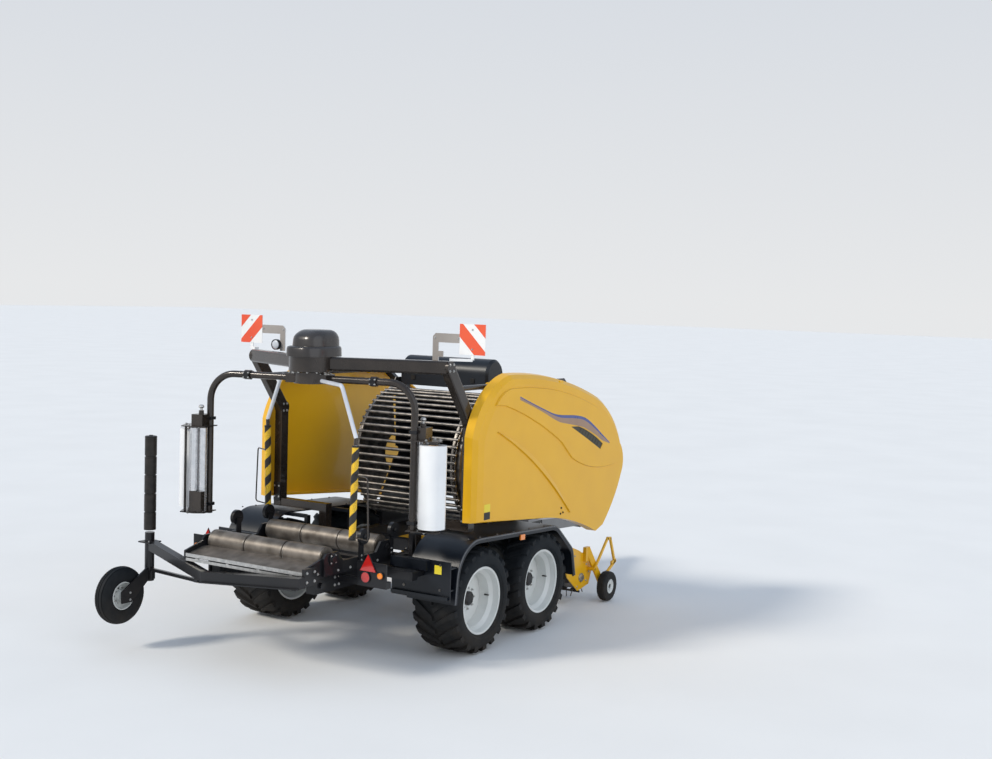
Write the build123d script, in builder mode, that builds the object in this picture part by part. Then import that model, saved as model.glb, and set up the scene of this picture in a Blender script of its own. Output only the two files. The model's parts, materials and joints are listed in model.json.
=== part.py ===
from build123d import *
import os
from math import cos, radians, sin

# A towed round baler that wraps its bale on a table at the rear.
# +X points forward along the drawbar, +Y to the left, +Z up.
# The ground is z = 0 and the middle plane of the machine is y = 0.
# Sizes are in millimetres.

os.makedirs("parts", exist_ok=True)
SIDES = {"left": 1, "right": -1}

# Main wheels and tandem axle
TYRE_RADIUS = 505
TYRE_WIDTH = 500
TYRE_SIDES = 20
TREAD_DEPTH = 26
LUG_COUNT = 12
LUG_WIDTH = 50
LUG_LENGTH = 225
LUG_ANGLE = 28
LUG_OFFSET = 120
RIM_RADIUS = 302
RIM_WIDTH = 420
RIM_LIP = 16
HUB_RADIUS = 88
HUB_CAP_RADIUS = 66
TRACK = 2280
REAR_AXLE_X = -1250
TANDEM_SPACING = 1110
FRONT_AXLE_X = REAR_AXLE_X + TANDEM_SPACING
PIVOT_X = REAR_AXLE_X + TANDEM_SPACING / 2
BOGIE_WIDTH = 100
BOGIE_GAP = 50
BOGIE_Y = TRACK / 2 - TYRE_WIDTH / 2 - BOGIE_GAP - BOGIE_WIDTH / 2
BOGIE_PIVOT_Z = 640
BOGIE_END = 90
AXLE_TUBE_RADIUS = 62
STUB_RADIUS = 40
STUB_REACH = 60
STUB_SHOULDER = 72

# Fits and pins
SEAT_GAP = 0.3
PIN_GAP = 0.3
TABLE_PIN_RADIUS = 25
GATE_PIN_RADIUS = 22
ROLLER_SHAFT = 20

# Chassis
FRAME_Y = 560
FRAME_WIDTH = 100
FRAME_BOTTOM = 720
FRAME_HEIGHT = 160
FRAME_MID_Z = FRAME_BOTTOM + FRAME_HEIGHT / 2
FRAME_TOP = FRAME_BOTTOM + FRAME_HEIGHT
FRAME_REAR_X = -2790
FRAME_FRONT_X = 1150
CROSS_WIDTH = 90
CROSS_HEIGHT = 120
GUARD_BEAM_X = -2050
GUARD_BEAM_REACH = 1150
LAMP_BAR_X = -2440
LAMP_BAR_SIZE = 60
LAMP_BAR_Z = 820
LAMP_PLATE = 12
LAMP_PLATE_Y = 990
LAMP_PLATE_Z = 900
LAMP_PLATE_WIDTH = 320
LAMP_PLATE_HEIGHT = 220
WORK_LAMP_Y = 1000
WORK_LAMP_Z = 2817

# Drawbar, tow eye and parking jack
DRAWBAR_ROOT_Z = 810
DRAWBAR_EYE_X = 3360
DRAWBAR_EYE_Z = 560
DRAWBAR_RISE = 20
EYE_HOLE_RADIUS = 25.5
EYE_RADIUS = 62
EYE_THICKNESS = 40
JACK_X = 2560
JACK_Y = 310
JACK_TUBE = 90
JACK_LEG = 70
JACK_TOP = 1000
CRANK_REACH = 150

# Bale chamber
CHAMBER_X = 40
CHAMBER_Z = 1640
CHAMBER_RADIUS = 625
CHAMBER_INNER_WIDTH = 1230
WALL = 12
SLAT_RADIUS = 17
SLAT_COUNT = 22
SLAT_TRACK = 95
FRONT_ROLLER_COUNT = 12
RING_OUTER = CHAMBER_RADIUS + SLAT_TRACK
WALL_Y = CHAMBER_INNER_WIDTH / 2 + WALL / 2
GATE_HINGE_X = CHAMBER_X + 40
GATE_HINGE_Z = CHAMBER_Z + RING_OUTER + 50

# Box for the net rolls
NET_BOX_REAR = 0
NET_BOX_FRONT = 330
NET_BOX_BOTTOM = 2385
NET_BOX_TOP = 2700
NET_BOX_HALF = 560

# Yellow side doors, hung on rails
DOOR_INNER_Y = 1215
DOOR_SKIN = 12
DOOR_BACK_X = -1400
DOOR_TOP_Z = 2625
DOOR_PANEL = 14
DOOR_RIB = 8
VENT_DEPTH = 14
RAIL_Y = 1160
RAIL_Z = 2500
RAIL_RADIUS = 25
RAIL_BRACE_X = 560
RAIL_BRACE_Z = 2080
STRAP_RADIUS = RAIL_RADIUS + 14
STRAP_WIDTH = 60
STRAPS_X = (-900, 240)

# Mudguards
GUARD_INNER_Y = 880
GUARD_OUTER_Y = 1410
GUARD_SHEET = 14
GUARD_LIP = 34
GUARD_PATH = [
    (-1776, 560),
    (-1716, 1123),
    (60, 1044),
    (424, 752),
    (488, 469),
]
GUARD_BENDS = (360, 240, 160)
STAY_Y = 650
GUARD_STAYS = (REAR_AXLE_X - 150, PIVOT_X, FRONT_AXLE_X + 100)
REAR_PLATE_X = -1862
REAR_PLATE_BOTTOM = 600
REAR_PLATE_TOP = 965

# Support of the wrapping arm
ARM_AXIS_X = -2180
V_ARM_Z = 2700
V_ARM_WIDTH = 115
V_ARM_HEIGHT = 125
POST_X = -1230
POST_Y = 1160
POST_WIDTH = 90
BEND_X = -1630
KNEE_Z = 2160
POST_FOOT_Z = 1180
HUB_SOCKET_RADIUS = 200
HUB_SOCKET_BOTTOM = V_ARM_Z - 75
HUB_SOCKET_TOP = V_ARM_Z + 64

# Warning boards
BOARD_X = -1503
BOARD_Y = 1342
BOARD_Z = 2964
BOARD_SIZE = 282
BOARD_SHEET = 4

# Wrapping arm and film rolls
ARM_RADIUS = 1261
ARM_ANGLE = 101
ARM_TOP_Z = 2560
ARM_TUBE_RADIUS = 33
ARM_BEND = 260
FILM_RADIUS = 125
FILM_CORE = 38
FILM_LENGTH = 750
FILM_MID_Z = 1642
HOLDER_GAP = 30
HOLDER_PLATE = 10
LEG_RADIUS = ARM_RADIUS - 190
STRETCH_RADIUS = 38
GUARD_ROD = 18
GUARD_SLEEVE = 30

# Wrapping table
TABLE_X = -2310
TABLE_ROLLER_SPREAD = 780
TABLE_ROLLER_Z = 1040
TABLE_ROLLER_RADIUS = 98
TABLE_ROLLER_LENGTH = 1330
ROLLER_GROOVE = 14
TABLE_SIDE_Y = TABLE_ROLLER_LENGTH / 2 + 50
TABLE_SIDE_THICKNESS = 24
TABLE_PIVOT_X = -2750
TABLE_PIVOT_Z = 800
TABLE_EAR_Y = 632
TABLE_EAR_WIDTH = 20
TRAY_ARM_Y = TABLE_SIDE_Y - 22
TRAY_ARM_WIDTH = 20
TRAY_REAR_X = -3050
TRAY_FRONT_X = -2810
TRAY_TOP = 1000
TRAY_DROP = 50
TABLE_BEAM_Z = 935
TABLE_BAR_X = TABLE_PIVOT_X + 60
TABLE_BAR_Z = TABLE_PIVOT_Z + 112
GUIDE_DISC_Y = TABLE_SIDE_Y + 45
REAR_PLATE_INNER_Y = TABLE_SIDE_Y + 45
GUIDE_DISC_Z = 1190
GUIDE_DISC_RADIUS = 72
CYLINDER_BASE = (-1560, 660)
CYLINDER_EYE = (-2200, 935)
CYLINDER_PIN = 15
BARREL_RADIUS = 45
ROD_RADIUS = 25

# Bale turner beside the table
TURNER_X = -3120
TURNER_ELBOW_Y = TABLE_SIDE_Y - 330
TURNER_ROOT_Y = -TABLE_SIDE_Y - 20
TURNER_BEAM_WIDTH = 80
TURNER_BEAM_HEIGHT = 90
TURNER_POST = (-2850, TABLE_SIDE_Y + 641)
TURNER_POST_RADIUS = 45
TURNER_ROLLER_RADIUS = 56
TURNER_ROLLER_BOTTOM = 1075
TURNER_ROLLER_LENGTH = 880
TURNER_WHEEL = (-3150, TABLE_SIDE_Y + 710, 490)
TURNER_TYRE_RADIUS = 270
TURNER_TYRE_WIDTH = 130
TURNER_RIM_RADIUS = 130
SMALL_TYRE_SIDES = 18

# Pickup
PICKUP_WIDTH = 2200
PICKUP_PIVOT_X = 800
PICKUP_PIVOT_Z = 620
PICKUP_PLATE = 12
REEL_X = 1180
REEL_Z = 290
REEL_TIP_RADIUS = 235
REEL_DRUM_RADIUS = 125
REEL_GAP = 14
TINE_BARS = 5
TINE_COUNT = 18
TINE_EDGE = 20
TINE_SIZE = 8
WIND_GUARD_X = REEL_X + 290
WIND_GUARD_Z = 425
WIND_GUARD_RADIUS = 24
GAUGE_X = 1480
GAUGE_RADIUS = 165
GAUGE_WIDTH = 100
GAUGE_RIM_RADIUS = 80
GAUGE_Z = GAUGE_RADIUS + 5
GAUGE_Y = PICKUP_WIDTH / 2 + 185
GAUGE_PIN_RADIUS = 16

# Gearbox with its drive stub
GEARBOX_REAR_X = 1250
GEARBOX_LENGTH = 300
PTO_RADIUS = 17.4
PTO_Z = 900


def pipe(points, radius, bend=0.0):
    """A round bar along straight runs, with arcs of one radius between them."""
    start = Vector(*points[0])
    with BuildPart() as bar:
        with BuildLine() as path:
            if len(points) > 2:
                FilletPolyline(*points, radius=bend)
            else:
                Line(*points)
        with BuildSketch(Plane(origin=start, z_dir=Vector(*points[1]) - start)):
            Circle(radius)
        sweep(path=path.wire())
    return bar.part


def box_beam(start, end, width, height, corner=0.0):
    """A straight rectangular beam between two points, its corners rounded if asked."""
    first = Vector(*start)
    run = Vector(*end) - first
    upright = Vector(run.X, run.Y, 0).length < 1
    across = Vector(0, 1, 0) if upright else run.cross(Vector(0, 0, 1))
    with BuildPart() as beam:
        with BuildSketch(Plane(origin=first, x_dir=across, z_dir=run)):
            if corner > 0:
                RectangleRounded(width, height, corner)
            else:
                Rectangle(width, height)
        extrude(amount=run.length)
    return beam.part


def disc(x, y, z, radius, width):
    """A flat cylinder with its axis along Y, centred at a point."""
    with BuildPart() as wheel:
        with BuildSketch(Plane.XZ.offset(-y)):
            with Locations((x, z)):
                Circle(radius)
        extrude(amount=width / 2, both=True)
    return wheel.part


def plate(points, y, thickness):
    """A flat plate across Y, its outline given by x and z pairs."""
    with BuildPart() as sheet:
        with BuildSketch(Plane.XZ.offset(-y)):
            with BuildLine():
                Polyline(*points, close=True)
            make_face()
        extrude(amount=thickness / 2, both=True)
    return sheet.part


def turned(stations):
    """A ring turned about the Y axis from pairs of outward distance and radius."""
    with BuildPart() as ring:
        with BuildSketch(Plane.YZ):
            with BuildLine():
                Polyline(*stations, close=True)
            make_face()
        revolve(axis=Axis.Y)
    return ring.part


def tyre(base, width, bead, shoulder, side_count, lip_seat=None):
    """A flat-faced tyre body about the Y axis, from its beads to the bottom of its tread.

    lip_seat is where the rim's lips sit: their distance out and their radius.
    """
    half = width / 2
    bulge = (bead + base) / 2
    # Columns: how far in along the axle, and how far down from the rim of the side
    slopes = [(half * 0.38, shoulder), (half * 0.12, base - shoulder - bulge)]
    with BuildPart() as body:
        with BuildSketch(Plane.XZ):
            RegularPolygon(base, side_count, major_radius=False)
        extrude(amount=half, both=True)
        for inward, down in slopes:
            for end in (0, -1):
                flank = body.faces().sort_by(Axis.Y)[end]
                chamfer(flank.edges(), down, inward, reference=flank)
        with BuildSketch(Plane.XZ):
            RegularPolygon(bead, side_count, major_radius=False)
        extrude(amount=width, both=True, mode=Mode.SUBTRACT)
        if lip_seat:
            for side in (-1, 1):
                with BuildSketch(Plane.XZ.offset(side * lip_seat[0])):
                    RegularPolygon(lip_seat[1], side_count, major_radius=False)
                extrude(amount=side * width, mode=Mode.SUBTRACT)
    return body.part


def guard_height(x):
    """Height of the mudguard's underside along its top run."""
    rear_x, rear_z = GUARD_PATH[1]
    front_x, front_z = GUARD_PATH[2]
    return rear_z + (x - rear_x) * (front_z - rear_z) / (front_x - rear_x)


def save(piece, name):
    """Label a finished piece and write it to its own file."""
    piece.label = name
    export_step(piece, f"parts/{name}.step")


# Main tyre: a faceted body with two rows of slanting lugs, made once about the origin
lug_reach = LUG_LENGTH / 2 * sin(radians(LUG_ANGLE)) + LUG_WIDTH / 2
lug_top = (TYRE_RADIUS**2 - lug_reach**2) ** 0.5
lugs = []
for row in (-1, 1):
    for index in range(LUG_COUNT):
        turn = (index + 0.25 * row) * 360 / LUG_COUNT
        seat = Pos(0, row * LUG_OFFSET, 0) * Rot(0, turn, 0) * Pos(0, 0, lug_top - TREAD_DEPTH)
        lugs.append(seat * Rot(0, 0, -LUG_ANGLE * row) * Box(LUG_WIDTH, LUG_LENGTH, TREAD_DEPTH * 2))
lip_seat = (RIM_WIDTH / 2 + 1, RIM_RADIUS + RIM_LIP + SEAT_GAP)
tread_base = TYRE_RADIUS - TREAD_DEPTH
with BuildPart() as main_tyre:
    add(tyre(tread_base, TYRE_WIDTH, RIM_RADIUS, TREAD_DEPTH, TYRE_SIDES, lip_seat))
    add(lugs)

# Main rim: lips that hold the beads, a stepped dish and a capped hub on the stub axle
rim_half = RIM_WIDTH / 2
lip_outer = rim_half + 12
seat_radius = RIM_RADIUS - SEAT_GAP
RIM_STATIONS = [
    (lip_outer, RIM_RADIUS + RIM_LIP),
    (rim_half + 2, RIM_RADIUS + RIM_LIP),
    (rim_half + 2, seat_radius),
    (-rim_half - 2, seat_radius),
    (-rim_half - 2, RIM_RADIUS + RIM_LIP),
    (-lip_outer, RIM_RADIUS + RIM_LIP),
    (-lip_outer, RIM_RADIUS - 2),
    (10, RIM_RADIUS * 0.87),
    (45, HUB_RADIUS + 32),
    (45, HUB_CAP_RADIUS - 6),
    (57, HUB_CAP_RADIUS - 6),
    (57, HUB_RADIUS + 32),
    (28, RIM_RADIUS * 0.855),
    (125, RIM_RADIUS * 0.855),
    (165, RIM_RADIUS * 0.96),
    (lip_outer, RIM_RADIUS - 2),
]
with BuildPart() as main_rim:
    add(turned(RIM_STATIONS))
    add(disc(0, -22, 0, HUB_RADIUS, 134))
    add(disc(0, 60, 0, HUB_CAP_RADIUS, 44))
    add(disc(0, STUB_REACH - 248, 0, STUB_RADIUS + SEAT_GAP, 500), mode=Mode.SUBTRACT)

WHEELS = {
    "rear_left": (REAR_AXLE_X, 1),
    "rear_right": (REAR_AXLE_X, -1),
    "front_left": (FRONT_AXLE_X, 1),
    "front_right": (FRONT_AXLE_X, -1),
}
for place, (axle_x, side) in WHEELS.items():
    seat = Pos(axle_x, side * TRACK / 2, TYRE_RADIUS) * Rot(0, 0, 90 - 90 * side)
    save(Pos(axle_x, side * TRACK / 2, TYRE_RADIUS) * main_tyre.part, f"tyre_{place}")
    save(seat * main_rim.part, f"rim_{place}")

# Bogie beams with their stub axles, and the cross tube that carries them
stub_length = TRACK / 2 + STUB_REACH - BOGIE_Y
shoulder_length = TRACK / 2 - HUB_RADIUS - 11 - BOGIE_Y
for name, side in SIDES.items():
    beam_outline = [
        (REAR_AXLE_X - BOGIE_END, TYRE_RADIUS - 80),
        (REAR_AXLE_X + BOGIE_END, TYRE_RADIUS - 80),
        (PIVOT_X, BOGIE_PIVOT_Z - 110),
        (FRONT_AXLE_X - BOGIE_END, TYRE_RADIUS - 80),
        (FRONT_AXLE_X + BOGIE_END, TYRE_RADIUS - 80),
        (FRONT_AXLE_X + BOGIE_END, TYRE_RADIUS + 70),
        (PIVOT_X + 110, BOGIE_PIVOT_Z + 95),
        (PIVOT_X - 110, BOGIE_PIVOT_Z + 95),
        (REAR_AXLE_X - BOGIE_END, TYRE_RADIUS + 70),
    ]
    with BuildPart() as bogie:
        add(plate(beam_outline, side * BOGIE_Y, BOGIE_WIDTH))
        for reach, radius in ((stub_length, STUB_RADIUS), (shoulder_length, STUB_SHOULDER)):
            with BuildSketch(Plane.XZ.offset(-side * BOGIE_Y)):
                with Locations((REAR_AXLE_X, TYRE_RADIUS), (FRONT_AXLE_X, TYRE_RADIUS)):
                    Circle(radius)
            extrude(amount=-side * reach)
    save(bogie.part, f"bogie_{name}")

save(disc(PIVOT_X, 0, BOGIE_PIVOT_Z, AXLE_TUBE_RADIUS, 2 * BOGIE_Y - BOGIE_WIDTH), "axle_tube")

# Chassis: two long beams, cross members and the rear frame under the table
beams = []
saddle_height = FRAME_BOTTOM - BOGIE_PIVOT_Z + 20
for side in SIDES.values():
    beam_y = side * FRAME_Y
    beams.append(
        box_beam(
            (FRAME_REAR_X, beam_y, FRAME_MID_Z),
            (FRAME_FRONT_X, beam_y, FRAME_MID_Z),
            FRAME_WIDTH,
            FRAME_HEIGHT,
        )
    )
    beams.append(
        Pos(PIVOT_X, beam_y, (BOGIE_PIVOT_Z + FRAME_BOTTOM) / 2) * Box(240, FRAME_WIDTH, saddle_height)
    )
for cross_x in (FRAME_REAR_X + 300, CYLINDER_BASE[0] + 60, PIVOT_X, 500, FRAME_FRONT_X - 50):
    beams.append(
        box_beam(
            (cross_x, -FRAME_Y, FRAME_MID_Z),
            (cross_x, FRAME_Y, FRAME_MID_Z),
            CROSS_WIDTH,
            CROSS_HEIGHT,
        )
    )
# Bars behind the wheels that carry the mudguards and the lamps
for side in SIDES.values():
    beams.append(
        box_beam(
            (GUARD_BEAM_X, side * FRAME_Y, FRAME_MID_Z + 40),
            (GUARD_BEAM_X, side * GUARD_BEAM_REACH, FRAME_MID_Z + 40),
            80,
            80,
        )
    )
    for arm_y in (800, 1100):
        beams.append(
            box_beam(
                (GUARD_BEAM_X, side * arm_y, FRAME_MID_Z + 40),
                (REAR_PLATE_X - 6, side * arm_y, FRAME_MID_Z + 40),
                50,
                50,
            )
        )
    beams.append(
        box_beam(
            (LAMP_BAR_X, side * FRAME_Y, LAMP_BAR_Z),
            (LAMP_BAR_X, side * GUARD_BEAM_REACH, LAMP_BAR_Z),
            LAMP_BAR_SIZE,
            LAMP_BAR_SIZE,
        )
    )
    lamp_face = LAMP_BAR_X - (LAMP_BAR_SIZE + LAMP_PLATE) / 2
    lamp_plate = Box(LAMP_PLATE, LAMP_PLATE_WIDTH, LAMP_PLATE_HEIGHT)
    beams.append(Pos(lamp_face, side * LAMP_PLATE_Y, LAMP_PLATE_Z) * lamp_plate)
# Uprights beside the long beams that carry the mudguards
upright_foot = 760
for side in SIDES.values():
    for stay_x in GUARD_STAYS:
        upright = guard_height(stay_x) - upright_foot
        beams.append(Pos(stay_x, side * (STAY_Y - 20), 820) * Box(50, 40, 120))
        beams.append(Pos(stay_x, side * STAY_Y, upright_foot + upright / 2) * Box(50, 40, upright))
# Clevis of the tilt cylinder under the cross member
for side in SIDES.values():
    beams.append(Pos(CYLINDER_BASE[0] + 30, side * 41, 695) * Box(150, 12, 130))
beams.append(disc(CYLINDER_BASE[0], 0, CYLINDER_BASE[1], CYLINDER_PIN, 94))
with BuildPart() as main_frame:
    add(beams)
    add(disc(PIVOT_X, 0, BOGIE_PIVOT_Z, AXLE_TUBE_RADIUS, TRACK), mode=Mode.SUBTRACT)
    add(
        disc(TABLE_PIVOT_X, 0, TABLE_PIVOT_Z, TABLE_PIN_RADIUS + PIN_GAP, TRACK),
        mode=Mode.SUBTRACT,
    )
save(main_frame.part, "main_frame")

# Rear lamps: a red triangle, a round lamp and a small amber one on each plate
lamp_back = LAMP_BAR_X - LAMP_BAR_SIZE / 2 - LAMP_PLATE
with BuildPart() as rear_lamps:
    for side in SIDES.values():
        with BuildSketch(Plane.YZ.offset(lamp_back - 14)):
            with Locations((side * (LAMP_PLATE_Y - 34), LAMP_PLATE_Z + 78)):
                Triangle(a=170, B=60, C=60)
            with Locations((side * (LAMP_PLATE_Y - 60), LAMP_PLATE_Z - 28)):
                Circle(44)
            with Locations((side * (LAMP_PLATE_Y + 104), LAMP_PLATE_Z + 5)):
                Circle(26)
        extrude(amount=14)
    with BuildSketch(Plane.YZ.offset(BOARD_X - 30)):
        with Locations((WORK_LAMP_Y, WORK_LAMP_Z)):
            Circle(47)
    extrude(amount=30)
save(rear_lamps.part, "rear_lamps")

# Drawbar: two beams that meet at the eye
bars = []
for side in SIDES.values():
    bars.append(
        box_beam(
            (FRAME_FRONT_X + 10, side * FRAME_Y, DRAWBAR_ROOT_Z),
            (DRAWBAR_EYE_X - 330, side * 70, DRAWBAR_EYE_Z + DRAWBAR_RISE),
            90,
            130,
        )
    )
bars.append(Pos(DRAWBAR_EYE_X - 290, 0, DRAWBAR_EYE_Z + DRAWBAR_RISE) * Box(160, 240, 170))
bars.append(box_beam((JACK_X, 180, 650), (JACK_X, JACK_Y - JACK_TUBE / 2, 650), 90, 90))
with BuildPart() as drawbar:
    add(bars)
    split(bisect_by=Plane.YZ.offset(FRAME_FRONT_X), keep=Keep.TOP)
save(drawbar.part, "drawbar")

with BuildPart() as tow_eye:
    with BuildSketch(Plane.XY.offset(DRAWBAR_EYE_Z - EYE_THICKNESS / 2)):
        with Locations((DRAWBAR_EYE_X, 0)):
            Circle(EYE_RADIUS)
        with Locations((DRAWBAR_EYE_X - 105, 0)):
            Rectangle(210, 80)
        with Locations((DRAWBAR_EYE_X, 0)):
            Circle(EYE_HOLE_RADIUS, mode=Mode.SUBTRACT)
    extrude(amount=EYE_THICKNESS)
save(tow_eye.part, "tow_eye")

# Parking jack: a sleeve with its crank on the drawbar, and a leg that slides in it
crank = [
    (JACK_X, JACK_Y, JACK_TOP + 10),
    (JACK_X, JACK_Y, JACK_TOP + 60),
    (JACK_X, JACK_Y + CRANK_REACH, JACK_TOP + 60),
    (JACK_X, JACK_Y + CRANK_REACH, JACK_TOP + 160),
]
with BuildPart() as jack_sleeve:
    with BuildSketch(Plane.XY.offset(390)):
        with Locations((JACK_X, JACK_Y)):
            Rectangle(JACK_TUBE, JACK_TUBE)
            Rectangle(JACK_LEG + 2, JACK_LEG + 2, mode=Mode.SUBTRACT)
    extrude(amount=JACK_TOP - 390)
    with BuildSketch(Plane.XY.offset(JACK_TOP)):
        with Locations((JACK_X, JACK_Y)):
            Rectangle(JACK_TUBE, JACK_TUBE)
    extrude(amount=20)
    add(pipe(crank, 10, bend=25))
save(jack_sleeve.part, "jack_sleeve")

with BuildPart() as jack_leg:
    with BuildSketch(Plane.XY):
        with Locations((JACK_X, JACK_Y)):
            Circle(110)
    extrude(amount=12)
    with BuildSketch(Plane.XY):
        with Locations((JACK_X, JACK_Y)):
            Rectangle(JACK_LEG, JACK_LEG)
    extrude(amount=620)
save(jack_leg.part, "jack_leg")


def half_ring(inner, outer, first, last, y, width):
    """Part of a ring about the chamber's axis, between two angles in degrees."""
    with BuildPart() as piece:
        with BuildSketch(Plane.XZ.offset(-y)):
            with BuildLine():
                outer_arc = CenterArc((CHAMBER_X, CHAMBER_Z), outer, first, last - first)
                inner_arc = CenterArc((CHAMBER_X, CHAMBER_Z), inner, first, last - first)
                Line(outer_arc @ 0, inner_arc @ 0)
                Line(outer_arc @ 1, inner_arc @ 1)
            make_face()
        extrude(amount=width / 2, both=True)
    return piece.part


def slats(first, last, radius, count, half_length):
    """Round bars along the chamber's axis, evenly spaced on an arc."""
    bars = []
    for index in range(count):
        angle = radians(first + (last - first) * index / (count - 1))
        bar_x = CHAMBER_X + radius * cos(angle)
        bar_z = CHAMBER_Z + radius * sin(angle)
        bars.append(disc(bar_x, 0, bar_z, SLAT_RADIUS, 2 * half_length))
    return bars


def ear(y, width, hole, lean):
    """A hinge plate between the chamber's rim and the tailgate's pin."""
    outline = [
        (GATE_HINGE_X - 45, GATE_HINGE_Z + 45),
        (GATE_HINGE_X + 45, GATE_HINGE_Z + 45),
        (GATE_HINGE_X + 45 + lean, GATE_HINGE_Z - 200),
        (GATE_HINGE_X - 45 + lean, GATE_HINGE_Z - 200),
    ]
    with BuildPart() as lug:
        add(plate(outline, y, width))
        if hole > 0:
            add(disc(GATE_HINGE_X, y, GATE_HINGE_Z, hole, width + 2), mode=Mode.SUBTRACT)
    return lug.part


# Chamber front: side walls, rollers over the top, a curved shield and the body under it
front_pieces = []
for side in SIDES.values():
    wall_y = side * WALL_Y
    pin_y = side * (WALL_Y + 20)
    front_pieces.append(half_ring(60, RING_OUTER + 15, -118, 92, wall_y, WALL))
    front_pieces.append(half_ring(RING_OUTER, RING_OUTER + 15, -60, 76, side * (WALL_Y + 20), 40))
    sill_y = side * (CHAMBER_INNER_WIDTH / 2 - 20)
    front_pieces.append(Pos(300, sill_y, FRAME_TOP + 65) * Box(1100, 40, 130))
    front_pieces.append(ear(wall_y, WALL, 0, 60))
    front_pieces.append(disc(GATE_HINGE_X, pin_y, GATE_HINGE_Z, GATE_PIN_RADIUS, 52))
    rail_foot = (RAIL_BRACE_X, side * (RAIL_Y + 10), RAIL_Z)
    front_pieces.append(box_beam((RAIL_BRACE_X, wall_y, RAIL_BRACE_Z), rail_foot, 60, 60))
front_pieces += slats(-60, 88, CHAMBER_RADIUS + 40, FRONT_ROLLER_COUNT, WALL_Y)
front_pieces.append(half_ring(RING_OUTER, RING_OUTER + 10, -40, 52, 0, 2 * WALL_Y))
with BuildPart() as chamber_front:
    add(front_pieces)
save(chamber_front.part, "chamber_front")

# Tailgate: rear side walls with chains and slats around them, hung at the top
gate_ear_y = WALL_Y + WALL + 6
gate_pieces = []
for side in SIDES.values():
    wall_y = side * WALL_Y
    gate_pieces.append(half_ring(200, CHAMBER_RADIUS + 75, 98, 236, wall_y, WALL))
    gate_pieces.append(half_ring(CHAMBER_RADIUS + 10, RING_OUTER, 98, 236, side * (WALL_Y - 30), 20))
    flange_y = side * (WALL_Y + 20)
    gate_pieces.append(half_ring(CHAMBER_RADIUS + 30, CHAMBER_RADIUS + 45, 110, 236, flange_y, 40))
    gate_pieces.append(ear(side * gate_ear_y, WALL, GATE_PIN_RADIUS + PIN_GAP, -160))
    gate_pieces.append(Pos(GATE_HINGE_X - 200, side * (WALL_Y + 9), GATE_HINGE_Z - 190) * Box(60, 18, 60))
gate_pieces += slats(100, 234, RING_OUTER - 10, SLAT_COUNT, WALL_Y + 10)
with BuildPart() as tailgate:
    add(gate_pieces)
save(tailgate.part, "tailgate")

# Box for the net rolls, over the front of the chamber, on two brackets
net_round = (NET_BOX_FRONT - NET_BOX_REAR) / 2
net_mid_x = (NET_BOX_FRONT + NET_BOX_REAR) / 2
bracket_x = net_mid_x + 60
net_brackets = []
for side in SIDES.values():
    net_brackets.append(Pos(bracket_x, side * (NET_BOX_HALF + 44), NET_BOX_BOTTOM + 14) * Box(90, 108, 28))
    net_brackets.append(Pos(bracket_x, side * WALL_Y, NET_BOX_BOTTOM - 30) * Box(90, WALL, 96))
with BuildPart() as net_box:
    with BuildSketch(Plane.XZ):
        with BuildLine():
            Line((NET_BOX_REAR, NET_BOX_TOP - net_round), (NET_BOX_REAR, NET_BOX_BOTTOM))
            Line((NET_BOX_REAR, NET_BOX_BOTTOM), (NET_BOX_FRONT, NET_BOX_BOTTOM))
            Line((NET_BOX_FRONT, NET_BOX_BOTTOM), (NET_BOX_FRONT, NET_BOX_TOP - net_round))
            ThreePointArc(
                (NET_BOX_FRONT, NET_BOX_TOP - net_round),
                (net_mid_x, NET_BOX_TOP),
                (NET_BOX_REAR, NET_BOX_TOP - net_round),
            )
        make_face()
    extrude(amount=NET_BOX_HALF, both=True)
    chamfer(net_box.faces().sort_by(Axis.Y)[-1].edges(), 25)
    chamfer(net_box.faces().sort_by(Axis.Y)[0].edges(), 25)
    add(net_brackets)
    add(disc(CHAMBER_X, 0, CHAMBER_Z, RING_OUTER + 15, 3 * WALL_Y), mode=Mode.SUBTRACT)
save(net_box.part, "net_box")

# Yellow side doors: deep moulded pans, built for the right side and mirrored
# Columns: distance from the middle plane, rear edge drawn in, top edge drawn in
DOOR_SECTIONS = [
    (DOOR_INNER_Y, 0, 0),
    (1290, 20, 15),
    (1322, 75, 55),
    (1330, 170, 110),
]
DOOR_FACE_Y = DOOR_SECTIONS[-1][0]


def door_form(wall):
    """The door's outer form, or the hollow in it when a wall is given."""
    with BuildPart() as form:
        for distance, rear, top in DOOR_SECTIONS:
            back = DOOR_BACK_X + rear + wall
            crown = DOOR_TOP_Z - top - wall
            nose = 0.4 * top + wall
            with BuildSketch(Plane.XZ.offset(distance - wall)):
                with BuildLine():
                    Line((back, 1245 + wall), (back, 2050 - 0.6 * top - wall))
                    ThreePointArc(
                        (back, 2050 - 0.6 * top - wall),
                        (-1170 + 0.8 * rear + wall, crown - 200),
                        (-760 + 0.3 * rear, crown),
                    )
                    ThreePointArc(
                        (-760 + 0.3 * rear, crown),
                        (200, crown - 75),
                        (1060, crown - 295),
                    )
                    ThreePointArc(
                        (1060, crown - 295),
                        (1440 - nose, 2080 - 0.5 * top - wall),
                        (1640 - nose, 1770),
                    )
                    ThreePointArc((1640 - nose, 1770), (1728 - nose, 1600), (1685 - nose, 1420))
                    ThreePointArc((1685 - nose, 1420), (1520 - nose, 1150 + wall), (1240, 900 + wall))
                    Line((1240, 900 + wall), (1080, 850 + wall))
                    ThreePointArc((1080, 850 + wall), (420, 1060 + wall), (-120, 1140 + wall))
                    Line((-120, 1140 + wall), (back, 1245 + wall))
                make_face()
        loft(ruled=True)
    return form.part


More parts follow.
